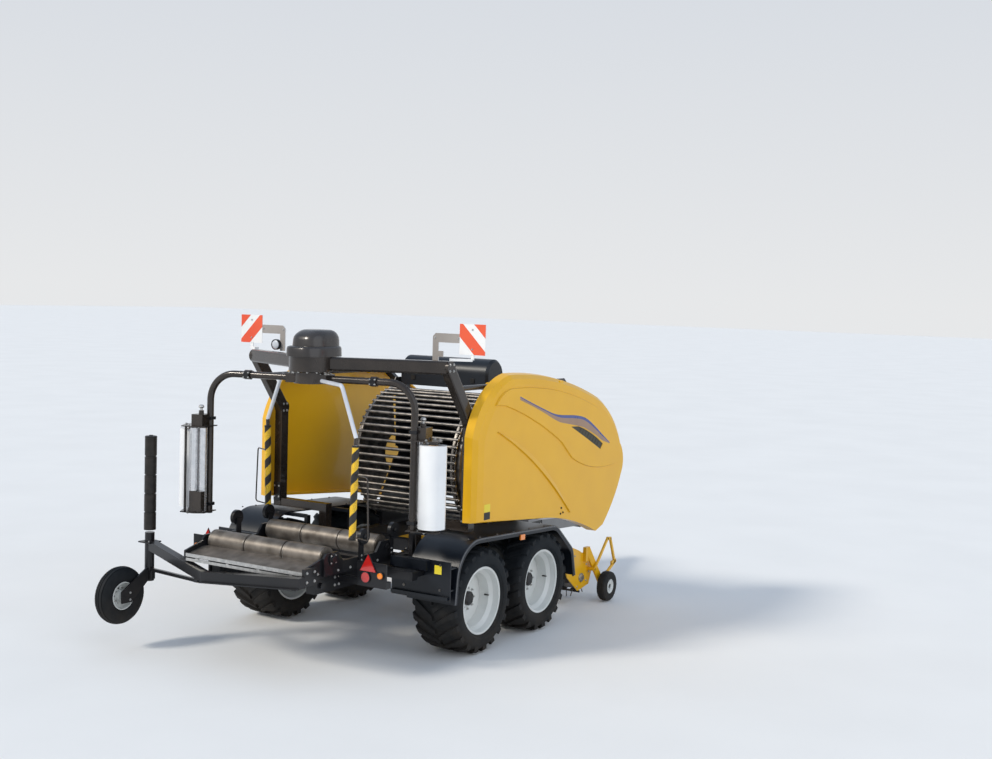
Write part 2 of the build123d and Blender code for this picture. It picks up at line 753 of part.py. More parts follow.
louvres = []
for index in range(7):
    slat_x = 540 + 85 * index
    slat_z = 1985 - 34 * index - 2.2 * index**2
    louvre = Rot(0, -35, 0) * Box(14, 12, 118 - 5 * index)
    louvres.append(Pos(slat_x, -DOOR_FACE_Y - 2, slat_z) * louvre)
with BuildPart() as side_door:
    add(door_form(0))
    # Upper panel that stands proud of the face, over a crease
    with BuildSketch(Plane.XZ.offset(DOOR_FACE_Y - 1)):
        with BuildLine():
            Line((-1060, 2330), (-880, 2318))
            ThreePointArc((-880, 2318), (-250, 2110), (240, 1882))
            Line((240, 1882), (471, 1700))
            ThreePointArc((471, 1700), (983, 1555), (1560, 1568))
            Line((1560, 1568), (1570, 1740))
            ThreePointArc((1570, 1740), (1370, 1990), (1040, 2195))
            ThreePointArc((1040, 2195), (200, 2415), (-700, 2485))
            ThreePointArc((-700, 2485), (-930, 2440), (-1060, 2330))
        make_face()
    extrude(amount=DOOR_PANEL + 1, taper=30)
    # Long crescent rib below the crease
    with BuildSketch(Plane.XZ.offset(DOOR_FACE_Y - 1)):
        with BuildLine():
            ThreePointArc((-1004, 2077), (-105, 1655), (464, 1133))
            ThreePointArc((464, 1133), (-150, 1620), (-1004, 2077))
        make_face()
    extrude(amount=DOOR_RIB + 1)
    # Air vent with its louvres
    with BuildSketch(Plane.XZ.offset(DOOR_FACE_Y + DOOR_PANEL - VENT_DEPTH)):
        with BuildLine():
            Line((426, 2034), (591, 2027))
            ThreePointArc((591, 2027), (900, 1925), (1155, 1799))
            Line((1155, 1799), (1102, 1743))
            ThreePointArc((1102, 1743), (780, 1885), (426, 2034))
        make_face()
    extrude(amount=DOOR_PANEL + 1, mode=Mode.SUBTRACT)
    add(louvres)
    add(door_form(DOOR_SKIN), mode=Mode.SUBTRACT)
    # Straps that hang the door on its rail
    for strap_x in STRAPS_X:
        with BuildSketch(Plane.YZ.offset(strap_x - STRAP_WIDTH / 2)):
            with Locations((-RAIL_Y, RAIL_Z)):
                Circle(STRAP_RADIUS)
            with Locations((-(RAIL_Y + DOOR_FACE_Y - DOOR_SKIN) / 2, RAIL_Z)):
                Rectangle(DOOR_FACE_Y - DOOR_SKIN - RAIL_Y, 40)
            with Locations((-RAIL_Y, RAIL_Z)):
                Circle(RAIL_RADIUS + PIN_GAP, mode=Mode.SUBTRACT)
        extrude(amount=STRAP_WIDTH)
save(side_door.part, "side_door_right")
save(mirror(side_door.part, about=Plane.XZ), "side_door_left")

# Mudguards over each pair of wheels, each with a rolled lip and a flat rear plate
def guard_strip(thickness, where, near_y, far_y):
    """A strip that follows the mudguard's arch, between two distances from the middle."""
    with BuildPart() as strip:
        with BuildSketch(Plane.XZ.offset(-near_y)):
            with BuildLine():
                FilletPolyline(*GUARD_PATH, radius=GUARD_BENDS)
                offset(amount=thickness, side=where)
            make_face()
        extrude(amount=near_y - far_y)
    return strip.part


plate_height = REAR_PLATE_TOP - REAR_PLATE_BOTTOM
plate_mid_z = (REAR_PLATE_TOP + REAR_PLATE_BOTTOM) / 2
rear_plate_width = GUARD_OUTER_Y - REAR_PLATE_INNER_Y
rear_plate_y = (GUARD_OUTER_Y + REAR_PLATE_INNER_Y) / 2
stay_length = GUARD_OUTER_Y - STAY_Y - 30
sheet_mid_y = (GUARD_INNER_Y + GUARD_OUTER_Y) / 2
link_front = -1740
for name, side in SIDES.items():
    guard_pieces = [
        guard_strip(GUARD_SHEET, Side.LEFT, side * GUARD_INNER_Y, side * GUARD_OUTER_Y),
        guard_strip(GUARD_LIP, Side.RIGHT, side * (GUARD_OUTER_Y - 12), side * GUARD_OUTER_Y),
        Pos(REAR_PLATE_X, side * rear_plate_y, plate_mid_z) * Box(12, rear_plate_width, plate_height),
        Pos(REAR_PLATE_X - 20, side * rear_plate_y, REAR_PLATE_BOTTOM + 35) * Box(40, 620, 30),
        Pos(REAR_PLATE_X - 36, side * (rear_plate_y - 100), 917) * Box(60, 400, 90),
    ]
    for stay_x in GUARD_STAYS:
        stay_y = side * (STAY_Y + 20 + stay_length / 2)
        guard_pieces.append(Pos(stay_x, stay_y, guard_height(stay_x) - 11) * Box(50, stay_length, 32))
    for link_z in (700, 900):
        link_x = (REAR_PLATE_X + link_front) / 2
        link_size = link_front - REAR_PLATE_X
        guard_pieces.append(Pos(link_x, side * sheet_mid_y, link_z) * Box(link_size, 500, 14))
    with BuildPart() as mudguard:
        add(guard_pieces)
    save(mudguard.part, f"mudguard_{name}")

# Wrapping arm support: two beams from the hub down to the chassis, and the door rails
rail_rear_x = BEND_X + (V_ARM_Z - RAIL_Z) * (POST_X - BEND_X) / (V_ARM_Z - KNEE_Z)
support_pieces = []
for side in SIDES.values():
    hub_point = (ARM_AXIS_X + 60, side * 90, V_ARM_Z)
    bend_point = (BEND_X, side * POST_Y, V_ARM_Z)
    knee_point = (POST_X, side * POST_Y, KNEE_Z)
    support_pieces.append(box_beam(hub_point, bend_point, V_ARM_WIDTH, V_ARM_HEIGHT, 24))
    support_pieces.append(disc(*bend_point, V_ARM_HEIGHT / 2, POST_WIDTH))
    support_pieces.append(box_beam(bend_point, knee_point, POST_WIDTH, V_ARM_HEIGHT, 18))
    support_pieces.append(disc(POST_X, side * POST_Y, KNEE_Z, V_ARM_HEIGHT / 2, POST_WIDTH))
    post_foot = (POST_X, side * POST_Y, POST_FOOT_Z - 40)
    support_pieces.append(box_beam(knee_point, post_foot, POST_WIDTH, 100))
    beam_end = (POST_X, side * (POST_Y + POST_WIDTH / 2), POST_FOOT_Z)
    support_pieces.append(box_beam(beam_end, (POST_X, side * 515, POST_FOOT_Z), 90, 80))
    support_pieces.append(
        box_beam((POST_X, side * FRAME_Y, POST_FOOT_Z), (POST_X, side * FRAME_Y, FRAME_TOP), 90, 90)
    )
    rail = [(rail_rear_x, side * RAIL_Y, RAIL_Z), (530, side * RAIL_Y, RAIL_Z)]
    support_pieces.append(pipe(rail, RAIL_RADIUS))
socket_height = HUB_SOCKET_TOP - HUB_SOCKET_BOTTOM
socket_mid_z = (HUB_SOCKET_TOP + HUB_SOCKET_BOTTOM) / 2
support_pieces.append(Pos(ARM_AXIS_X, 0, socket_mid_z) * Cylinder(HUB_SOCKET_RADIUS, socket_height))
with BuildPart() as arm_support:
    add(support_pieces)
save(arm_support.part, "arm_support")

# Cover of the hub drive: three stepped tiers that lean forward
# Columns: height over the socket, length, width, tier height, taper, shift forward
COVER_TIERS = [
    (0, 530, 400, 92, 3, 50),
    (92, 430, 345, 98, 5, 75),
    (190, 320, 280, 56, 22, 95),
]
with BuildPart() as hub_cover:
    for foot, length, width, height, lean, shift in COVER_TIERS:
        with BuildSketch(Plane.XY.offset(HUB_SOCKET_TOP + foot)):
            with Locations((ARM_AXIS_X + shift, 0)):
                RectangleRounded(length, width, width * 0.46)
        extrude(amount=height, taper=lean)
save(hub_cover.part, "hub_cover")

# Warning boards on their posts, each with a light bracket beside it
board_foot = BOARD_Z - BOARD_SIZE / 2
step_z = V_ARM_Z + V_ARM_HEIGHT / 2 + 12
BRACKET_OUTLINE = [
    (900, 2755),
    (965, 2755),
    (965, 2790),
    (1020, 2790),
    (1020, 2845),
    (965, 2845),
    (965, 2925),
    (1215, 2925),
    (1215, 3010),
    (930, 3010),
    (900, 2980),
]
for name, side in SIDES.items():
    board_sheet = Box(BOARD_SHEET, BOARD_SIZE, BOARD_SIZE)
    board_post = Box(12, 30, board_foot + 40 - step_z)
    post_z = (board_foot + 40 + step_z) / 2
    step_end = (BEND_X + 10, side * (POST_Y + 10), step_z)
    step = box_beam((BOARD_X + 6, side * BOARD_Y, step_z), step_end, 40, 24)
    with BuildPart() as board:
        add(Pos(BOARD_X - BOARD_SHEET / 2, side * BOARD_Y, BOARD_Z) * board_sheet)
        add(Pos(BOARD_X + 6, side * BOARD_Y, post_z) * board_post)
        add(step)
        with BuildSketch(Plane.YZ.offset(BOARD_X)):
            with BuildLine():
                Polyline(*[(side * y, z) for y, z in BRACKET_OUTLINE], close=True)
            make_face()
        extrude(amount=8)
    save(board.part, f"warning_board_{name}")

# Wrapping arm: a tube hoop that turns about the hub, with two film holders
arm_frame = Pos(ARM_AXIS_X, 0, 0) * Rot(0, 0, ARM_ANGLE - 90)
film_bottom = FILM_MID_Z - FILM_LENGTH / 2
film_top = FILM_MID_Z + FILM_LENGTH / 2
lower_plate = film_bottom - HOLDER_GAP - HOLDER_PLATE / 2
upper_plate = film_top + HOLDER_GAP + HOLDER_PLATE / 2
plate_span = upper_plate - lower_plate
# Film holder: plate corners and rollers, each with its distance out from the film roll's axis
HOLDER_OUTLINE = [(40, -231), (-150, -231), (-200, -141), (-190, 9), (0, 84), (60, 59), (60, -231)]
STRETCH_ROLLERS = [(-150, -111, STRETCH_RADIUS), (-110, -186, STRETCH_RADIUS), (-155, -21, 12)]
arm_pieces = [
    pipe(
        [
            (0, LEG_RADIUS, lower_plate - 20),
            (0, LEG_RADIUS, ARM_TOP_Z),
            (0, -LEG_RADIUS, ARM_TOP_Z),
            (0, -LEG_RADIUS, lower_plate - 20),
        ],
        ARM_TUBE_RADIUS,
        bend=ARM_BEND,
    ),
    Pos(0, 0, ARM_TOP_Z + 5) * Cylinder(150, 104),
    Pos(0, 0, ARM_TOP_Z) * Box(180, 420, 84),
]
for side in SIDES.values():
    half = Rot(0, 0, 90 - 90 * side)
    for plate_z in (lower_plate, upper_plate):
        with BuildPart() as holder:
            with BuildSketch(Plane.XY.offset(plate_z - HOLDER_PLATE / 2)):
                with BuildLine():
                    Polyline(*[(x, ARM_RADIUS + out) for x, out in HOLDER_OUTLINE], close=True)
                make_face()
            extrude(amount=HOLDER_PLATE)
        arm_pieces.append(half * holder.part)
    for roller_x, out, radius in STRETCH_ROLLERS:
        roller_at = Pos(roller_x, ARM_RADIUS + out, FILM_MID_Z)
        arm_pieces.append(half * roller_at * Cylinder(radius, plate_span))
    for stub_z in (lower_plate + 35, upper_plate - 35):
        arm_pieces.append(half * Pos(0, ARM_RADIUS, stub_z) * Cylinder(FILM_CORE - PIN_GAP, 70))
    gear_y = ARM_RADIUS - 156
    head_y = ARM_RADIUS - 141
    arm_pieces.append(half * Pos(-145, gear_y, lower_plate + 110) * Box(90, 130, 190))
    arm_pieces.append(half * Pos(-80, head_y, upper_plate + 60) * Box(150, 120, 110))
    arm_pieces.append(half * Pos(-80, head_y, upper_plate + 130) * Cylinder(24, 40))
    arm_pieces.append(half * Pos(0, 660, ARM_TOP_Z) * Rot(90, 0, 0) * Cylinder(ARM_TUBE_RADIUS + 12, 60))
    rod = [
        (83, 167, ARM_TOP_Z - 15),
        (479, 579, ARM_TOP_Z - 15),
        (525, 752, 2100),
        (593, 771, 1215),
    ]
    arm_pieces.append(half * pipe(rod, GUARD_ROD, bend=55))
    arm_pieces.append(half * pipe([(531, 754, 2025), (593, 771, 1215)], GUARD_SLEEVE))
    loop = [
        (549, 759, 1780),
        (700, 960, 1780),
        (715, 985, 1240),
        (591, 770, 1240),
    ]
    arm_pieces.append(half * pipe(loop, 7, bend=30))
with BuildPart() as wrap_arm:
    add(arm_pieces)
save(arm_frame * wrap_arm.part, "wrap_arm")

for name, side in SIDES.items():
    with BuildPart() as film_roll:
        with BuildSketch(Plane.XY.offset(film_bottom)):
            with Locations((0, side * ARM_RADIUS)):
                Circle(FILM_RADIUS)
                Circle(FILM_CORE, mode=Mode.SUBTRACT)
        extrude(amount=FILM_LENGTH)
    save(arm_frame * film_roll.part, f"film_roll_{name}")

# Wrapping table: side plates with bearing humps, tray, pivot ears and bale guides
ROLLERS_X = {
    "front": TABLE_X + TABLE_ROLLER_SPREAD / 2,
    "rear": TABLE_X - TABLE_ROLLER_SPREAD / 2,
}
hump_z = TABLE_ROLLER_Z + 55
front_x = ROLLERS_X["front"]
rear_x = ROLLERS_X["rear"]
SIDE_OUTLINE = [
    (rear_x - 115, 900),
    (rear_x - 115, hump_z - 35),
    (rear_x - 80, hump_z),
    (rear_x + 80, hump_z),
    (rear_x + 150, hump_z - 90),
    (front_x - 150, hump_z - 90),
    (front_x - 80, hump_z),
    (front_x + 70, hump_z),
    (front_x + 105, hump_z - 35),
    (front_x + 105, 930),
    (front_x + 60, 900),
]
TRAY_END = [
    (TRAY_REAR_X - 6, 905),
    (TRAY_REAR_X - 6, 990),
    (TRAY_FRONT_X, 1055),
    (TRAY_FRONT_X + 140, 1055),
    (TRAY_FRONT_X + 140, 895),
    (TRAY_FRONT_X - 100, 880),
]
table_pieces = []
for side in SIDES.values():
    pin_y = side * (FRAME_Y + 30)
    table_pieces.append(plate(SIDE_OUTLINE, side * TABLE_SIDE_Y, TABLE_SIDE_THICKNESS))
    table_pieces.append(plate(TRAY_END, side * TRAY_ARM_Y, TRAY_ARM_WIDTH))
    table_pieces.append(
        Pos(TABLE_PIVOT_X, side * TABLE_EAR_Y, TABLE_PIVOT_Z + 48) * Box(110, TABLE_EAR_WIDTH, 166)
    )
    table_pieces.append(disc(TABLE_PIVOT_X, pin_y, TABLE_PIVOT_Z, TABLE_PIN_RADIUS, 150))
    for roller_x in ROLLERS_X.values():
        guide_x = roller_x + 60 if roller_x > TABLE_X else roller_x + 390
        table_pieces.append(disc(guide_x, side * GUIDE_DISC_Y, GUIDE_DISC_Z, GUIDE_DISC_RADIUS, 34))
        bracket_foot = TABLE_BEAM_Z + 15
        bracket_at = Pos(guide_x, side * (TABLE_SIDE_Y + 20), (GUIDE_DISC_Z + bracket_foot) / 2)
        table_pieces.append(bracket_at * Box(60, 16, GUIDE_DISC_Z - bracket_foot))
bar_ends = [(TABLE_BAR_X, side * TABLE_SIDE_Y, TABLE_BAR_Z) for side in (-1, 1)]
table_pieces.append(box_beam(*bar_ends, 60, 48))
for cross_x in (CYLINDER_EYE[0] - 200, CYLINDER_EYE[0]):
    cross_ends = [(cross_x, side * TABLE_SIDE_Y, TABLE_BEAM_Z) for side in (-1, 1)]
    table_pieces.append(box_beam(*cross_ends, 80, 80))
tray_end = (TRAY_REAR_X, 0, TRAY_TOP - TRAY_DROP)
table_pieces.append(box_beam((TRAY_FRONT_X, 0, TRAY_TOP), tray_end, 2 * TRAY_ARM_Y, 8))
table_pieces.append(Pos(*tray_end) * Box(8, 2 * TRAY_ARM_Y, 34))
with BuildPart() as table:
    add(table_pieces)
    for roller_x in ROLLERS_X.values():
        add(
            disc(roller_x, 0, TABLE_ROLLER_Z, ROLLER_SHAFT + PIN_GAP, 2 * TABLE_SIDE_Y + 60),
            mode=Mode.SUBTRACT,
        )
    add(disc(CYLINDER_EYE[0], 0, CYLINDER_EYE[1], 60, 90), mode=Mode.SUBTRACT)
save(table.part, "table")

# Table rollers, each in three segments with grooves between them
for name, roller_x in ROLLERS_X.items():
    with BuildPart() as table_roller:
        add(disc(roller_x, 0, TABLE_ROLLER_Z, TABLE_ROLLER_RADIUS - 8, TABLE_ROLLER_LENGTH))
        for index in (-1, 0, 1):
            segment_y = index * TABLE_ROLLER_LENGTH / 3
            segment = TABLE_ROLLER_LENGTH / 3 - ROLLER_GROOVE
            add(disc(roller_x, segment_y, TABLE_ROLLER_Z, TABLE_ROLLER_RADIUS, segment))
        shaft = 2 * TABLE_SIDE_Y + TABLE_SIDE_THICKNESS
        add(disc(roller_x, 0, TABLE_ROLLER_Z, ROLLER_SHAFT, shaft))
    save(table_roller.part, f"table_roller_{name}")

# Tilt cylinder: a barrel hinged on the chassis and a rod that slides in it
base = Vector(CYLINDER_BASE[0], 0, CYLINDER_BASE[1])
run = Vector(CYLINDER_EYE[0], 0, CYLINDER_EYE[1]) - base
axis = run.normalized()
barrel_start = 80
rod_start = 90
with BuildPart() as cylinder_barrel:
    with BuildSketch(Plane(origin=base + axis * barrel_start, z_dir=axis, x_dir=(0, 1, 0))):
        Circle(BARREL_RADIUS)
    extrude(amount=run.length - barrel_start - 180)
    with BuildSketch(Plane(origin=base, z_dir=axis, x_dir=(0, 1, 0))):
        Circle(28)
    extrude(amount=barrel_start + 20)
    with BuildSketch(Plane(origin=base + axis * rod_start, z_dir=axis, x_dir=(0, 1, 0))):
        Circle(ROD_RADIUS + PIN_GAP)
    extrude(amount=run.length, mode=Mode.SUBTRACT)
    add(disc(base.X, 0, base.Z, 38, 60))
    add(disc(base.X, 0, base.Z, CYLINDER_PIN + PIN_GAP, 90), mode=Mode.SUBTRACT)
save(cylinder_barrel.part, "cylinder_barrel")
with BuildPart() as cylinder_rod:
    with BuildSketch(Plane(origin=base + axis * (rod_start + 5), z_dir=axis, x_dir=(0, 1, 0))):
        Circle(ROD_RADIUS)
    extrude(amount=run.length - rod_start - 5)
    add(disc(CYLINDER_EYE[0], 0, CYLINDER_EYE[1], 40, 50))
save(cylinder_rod.part, "cylinder_rod")

# Bale turner: an arm from the table to a post with a roller and a support wheel
post_x, post_y = TURNER_POST
wheel_x, wheel_y, wheel_z = TURNER_WHEEL
root = (TURNER_X, TURNER_ROOT_Y, 895)
elbow = (TURNER_X, TURNER_ELBOW_Y, 805)
post_root = (post_x, post_y - 30, 930)
brace_y = TURNER_ELBOW_Y + 115
brace_foot = (TURNER_X + 30, brace_y, 745)
flange_holes = []
for index in range(8):
    hole_y = TURNER_ROOT_Y + 95 + 110 * index
    flange_holes.append(Pos(TURNER_X - 20, hole_y, 840) * Cylinder(16, 80))
WHEEL_BRACKET = [
    (post_x - 40, 600),
    (post_x + 40, 600),
    (post_x + 40, 700),
    (post_x - 60, 720),
    (wheel_x - 60, wheel_z + 50),
    (wheel_x - 60, wheel_z - 60),
    (wheel_x + 60, wheel_z - 60),
]
turner_arm = [
    box_beam(root, elbow, TURNER_BEAM_WIDTH, TURNER_BEAM_HEIGHT),
    Pos(-10, 0, -45) * box_beam(root, elbow, 130, 10),
    Pos(*elbow) * Cylinder(TURNER_BEAM_WIDTH / 2, TURNER_BEAM_HEIGHT),
]
turner_pieces = [
    box_beam(elbow, post_root, TURNER_BEAM_WIDTH, TURNER_BEAM_HEIGHT),
    box_beam(brace_foot, (post_x - 8, post_y - 20, 700), 30, 30),
    Pos(TURNER_X + 30, brace_y, 775) * Box(40, 40, 90),
    Pos(-3000, -TRAY_ARM_Y - 25, 930) * Box(160, 30, 150),
    Pos(post_x, post_y, 820) * Cylinder(TURNER_POST_RADIUS, 460),
    Pos(post_x, post_y, 960) * Box(150, 150, 12),
    plate(WHEEL_BRACKET, wheel_y - 90, 16),
    Pos(post_x, (post_y + wheel_y - 90) / 2, 650) * Box(70, 60, 90),
    disc(wheel_x, wheel_y - 40, wheel_z, 22, 110),
]
with BuildPart() as turner_beam:
    add(turner_arm)
    add(flange_holes, mode=Mode.SUBTRACT)
    add(turner_pieces)
save(turner_beam.part, "turner_beam")

with BuildPart() as turner_roller:
    segment = TURNER_ROLLER_LENGTH / 5
    for index in range(5):
        with BuildSketch(Plane.XY.offset(TURNER_ROLLER_BOTTOM + index * segment)):
            with Locations((post_x, post_y)):
                Circle(TURNER_ROLLER_RADIUS)
        extrude(amount=segment - ROLLER_GROOVE)
    with BuildSketch(Plane.XY.offset(TURNER_ROLLER_BOTTOM)):
        with Locations((post_x, post_y)):
            Circle(TURNER_ROLLER_RADIUS - 7)
    extrude(amount=TURNER_ROLLER_LENGTH)
save(turner_roller.part, "turner_roller")

small_base = TURNER_TYRE_RADIUS - 4
small_tyre = tyre(small_base, TURNER_TYRE_WIDTH, TURNER_RIM_RADIUS, 16, SMALL_TYRE_SIDES)
save(Pos(wheel_x, wheel_y, wheel_z) * small_tyre, "turner_tyre")
SMALL_RIM = [
    (54, TURNER_RIM_RADIUS - SEAT_GAP),
    (-54, TURNER_RIM_RADIUS - SEAT_GAP),
    (-54, TURNER_RIM_RADIUS - 8),
    (-6, TURNER_RIM_RADIUS - 14),
    (4, 50),
    (-40, 44),
    (-40, 22 + PIN_GAP),
    (20, 22 + PIN_GAP),
    (20, 44),
    (10, 58),
    (8, TURNER_RIM_RADIUS - 20),
    (54, TURNER_RIM_RADIUS - 8),
]
save(Pos(wheel_x, wheel_y, wheel_z) * turned(SMALL_RIM), "turner_rim")

# Pickup: reel with tines, side plates, wind guard and gauge wheels
tine_length = REEL_TIP_RADIUS - REEL_DRUM_RADIUS + 20
tines = []
for row in range(TINE_BARS):
    for index in range(TINE_COUNT):
        y = (index / (TINE_COUNT - 1) - 0.5) * (PICKUP_WIDTH - 2 * TINE_EDGE - 2 * REEL_GAP)
        turn = (row + 0.5 * (index % 2)) * 360 / TINE_BARS
        seat = Pos(REEL_X, y, REEL_Z) * Rot(0, turn, 0) * Pos(0, 0, REEL_TIP_RADIUS - tine_length / 2)
        tines.append(seat * Box(TINE_SIZE, TINE_SIZE, tine_length))
with BuildPart() as reel:
    add(disc(REEL_X, 0, REEL_Z, REEL_DRUM_RADIUS, PICKUP_WIDTH - 2 * REEL_GAP))
    add(tines)
save(reel.part, "reel")

plate_y = (PICKUP_WIDTH + PICKUP_PLATE) / 2
PICKUP_SIDE = [
    (PICKUP_PIVOT_X - 60, 560),
    (PICKUP_PIVOT_X - 60, 680),
    (PICKUP_PIVOT_X + 60, 690),
    (REEL_X - 60, 600),
    (REEL_X + 210, 470),
    (REEL_X + 250, 330),
    (REEL_X + 190, 190),
    (REEL_X - 60, 150),
    (REEL_X - 300, 330),
]
pickup_pieces = []
for side in SIDES.values():
    arm_root = (REEL_X + 90, side * (PICKUP_WIDTH / 2 + 36), 600)
    arm_end = (GAUGE_X, side * (GAUGE_Y - GAUGE_WIDTH / 2 - 32), GAUGE_Z + 40)
    pickup_pieces.append(plate(PICKUP_SIDE, side * plate_y, PICKUP_PLATE))
    pickup_pieces.append(box_beam(arm_root, arm_end, 24, 70))
    pickup_pieces.append(Pos(REEL_X + 90, side * (PICKUP_WIDTH / 2 + 28), 540) * Box(90, 40, 160))
    hub_width = GAUGE_WIDTH / 2 + 44
    hub_y = side * (GAUGE_Y - hub_width / 2)
    fork_y = side * (GAUGE_Y - GAUGE_WIDTH / 2 - 32)
    pickup_pieces.append(disc(GAUGE_X, hub_y, GAUGE_Z, GAUGE_PIN_RADIUS, hub_width))
    pickup_pieces.append(Pos(GAUGE_X, fork_y, GAUGE_Z + 20) * Box(50, 24, 90))
    guard_arm = [
        (REEL_X + 40, 560),
        (REEL_X + 130, 560),
        (WIND_GUARD_X + 24, WIND_GUARD_Z + 20),
        (WIND_GUARD_X + 24, WIND_GUARD_Z - 24),
        (WIND_GUARD_X - 24, WIND_GUARD_Z - 24),
    ]
    pickup_pieces.append(plate(guard_arm, side * plate_y, PICKUP_PLATE))
pickup_pieces.append(disc(PICKUP_PIVOT_X, 0, PICKUP_PIVOT_Z, 40, PICKUP_WIDTH + 2 * PICKUP_PLATE))
guard_length = PICKUP_WIDTH + PICKUP_PLATE
pickup_pieces.append(disc(WIND_GUARD_X, 0, WIND_GUARD_Z, WIND_GUARD_RADIUS, guard_length))
with BuildPart() as pickup_frame:
    add(pickup_pieces)
save(pickup_frame.part, "pickup_frame")

gauge_tyre = tyre(GAUGE_RADIUS - 3, GAUGE_WIDTH, GAUGE_RIM_RADIUS, 11, SMALL_TYRE_SIDES)
for name, side in SIDES.items():
    with BuildPart() as gauge_wheel:
        add(Pos(GAUGE_X, side * GAUGE_Y, GAUGE_Z) * gauge_tyre)
        add(disc(GAUGE_X, side * GAUGE_Y, GAUGE_Z, GAUGE_RIM_RADIUS + 2, GAUGE_WIDTH * 0.5))
        add(
            disc(GAUGE_X, side * GAUGE_Y, GAUGE_Z, GAUGE_PIN_RADIUS + PIN_GAP, 2 * GAUGE_WIDTH),
            mode=Mode.SUBTRACT,
        )
    save(gauge_wheel.part, f"gauge_wheel_{name}")

# Gearbox and drive stub on the drawbar
# Columns: start in front of the gearbox's rear face, radius, length
STUB_STEPS = [
    (GEARBOX_LENGTH, 60, 20),
    (GEARBOX_LENGTH + 20, PTO_RADIUS, 90),
]
with BuildPart() as gearbox:
    with BuildSketch(Plane.YZ.offset(GEARBOX_REAR_X)):
        with Locations((0, PTO_Z)):
            RectangleRounded(300, 280, 40)
    extrude(amount=GEARBOX_LENGTH)
    for start, radius, length in STUB_STEPS:
        with BuildSketch(Plane.YZ.offset(GEARBOX_REAR_X + start)):
            with Locations((0, PTO_Z)):
                Circle(radius)
        extrude(amount=length)
save(gearbox.part, "gearbox")
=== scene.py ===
import json
from math import atan2, cos, hypot, pi, radians, sin

import bmesh
import bpy
from mathutils import Matrix, Vector


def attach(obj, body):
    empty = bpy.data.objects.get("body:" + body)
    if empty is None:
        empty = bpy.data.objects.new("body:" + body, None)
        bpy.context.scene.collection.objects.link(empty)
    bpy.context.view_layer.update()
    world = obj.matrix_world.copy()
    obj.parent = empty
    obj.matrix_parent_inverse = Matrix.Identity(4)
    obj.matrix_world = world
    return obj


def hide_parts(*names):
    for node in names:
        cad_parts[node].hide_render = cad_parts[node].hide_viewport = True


# Looks of a towed round baler with a wrapping table.
# Metres, +X forward along the drawbar, +Y to the left, +Z up, the ground at z = 0.
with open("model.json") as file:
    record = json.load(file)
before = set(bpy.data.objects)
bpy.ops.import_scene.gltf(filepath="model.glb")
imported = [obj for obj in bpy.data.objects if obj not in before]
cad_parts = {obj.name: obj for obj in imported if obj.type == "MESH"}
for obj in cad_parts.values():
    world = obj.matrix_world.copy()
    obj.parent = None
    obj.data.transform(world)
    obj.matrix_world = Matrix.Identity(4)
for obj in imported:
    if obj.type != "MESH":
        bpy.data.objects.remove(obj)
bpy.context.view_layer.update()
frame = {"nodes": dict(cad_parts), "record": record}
SIDES = {"left": 1, "right": -1}

# Viewpoint, found from the machine's standard sizes
CAMERA_PLACE = Vector((-11.767, -7.990, 3.376))
CAMERA_YAW = radians(31.885)
CAMERA_PITCH = radians(-3.605)
CAMERA_ROLL = radians(1.675)
CAMERA_LENS = 48.53
SENSOR_WIDTH = 36.0

# Sizes shared with the construction model
TYRE_RADIUS = 0.505
TYRE_BASE = 0.480
WHEEL_Y = 1.140
AXLES_X = {"rear": -1.250, "front": -0.140}
CHAMBER = Vector((0.040, 0, 1.640))
DOOR_FACE = 1.330
PANEL_FACE = 1.344
ARM_X = -2.180
ARM_TOP = 2.560
ARM_TURN = radians(11)
FILM_Y = 1.261
FILM_MID = 1.642
FILM_HALF = 0.375
FILM_RADIUS = 0.125
TABLE_X = -2.310
TABLE_ROLLERS = (-1.920, -2.700)
TABLE_ROLLER_Z = 1.040
TRAY_WIDTH = 1.372
TURNER_WHEEL = (-3.150, 1.425, 0.490)
TURNER_POST = Vector((-2.850, 1.356, 0))
GAUGE = Vector((1.480, 1.285, 0.170))
WORK_LAMP = (-1.503, 1.000, 2.817)
LAMP_FACE = -2.482
PTO = Vector((1.570, 0, 0.900))
JACK = (2.560, 0.310)


# Materials
def node_material(name):
    """A new material and its principled shader."""
    material = bpy.data.materials.new(name)
    material.use_nodes = True
    shader = material.node_tree.nodes["Principled BSDF"]
    return material, shader


def speckle(material, scale, detail=4.0):
    """A noise texture that follows the object's own coordinates."""
    nodes = material.node_tree.nodes
    links = material.node_tree.links
    place = nodes.new("ShaderNodeTexCoord")
    noise = nodes.new("ShaderNodeTexNoise")
    noise.inputs["Scale"].default_value = scale
    noise.inputs["Detail"].default_value = detail
    links.new(place.outputs["Object"], noise.inputs["Vector"])
    return noise


def mix_colours(material, factor, low, high):
    """A colour that runs from low to high as factor goes from 0 to 1."""
    ramp = material.node_tree.nodes.new("ShaderNodeValToRGB")
    ramp.color_ramp.elements[0].position = 0.35
    ramp.color_ramp.elements[0].color = (*low, 1)
    ramp.color_ramp.elements[1].position = 0.65
    ramp.color_ramp.elements[1].color = (*high, 1)
    material.node_tree.links.new(factor, ramp.inputs["Fac"])
    return ramp.outputs["Color"]


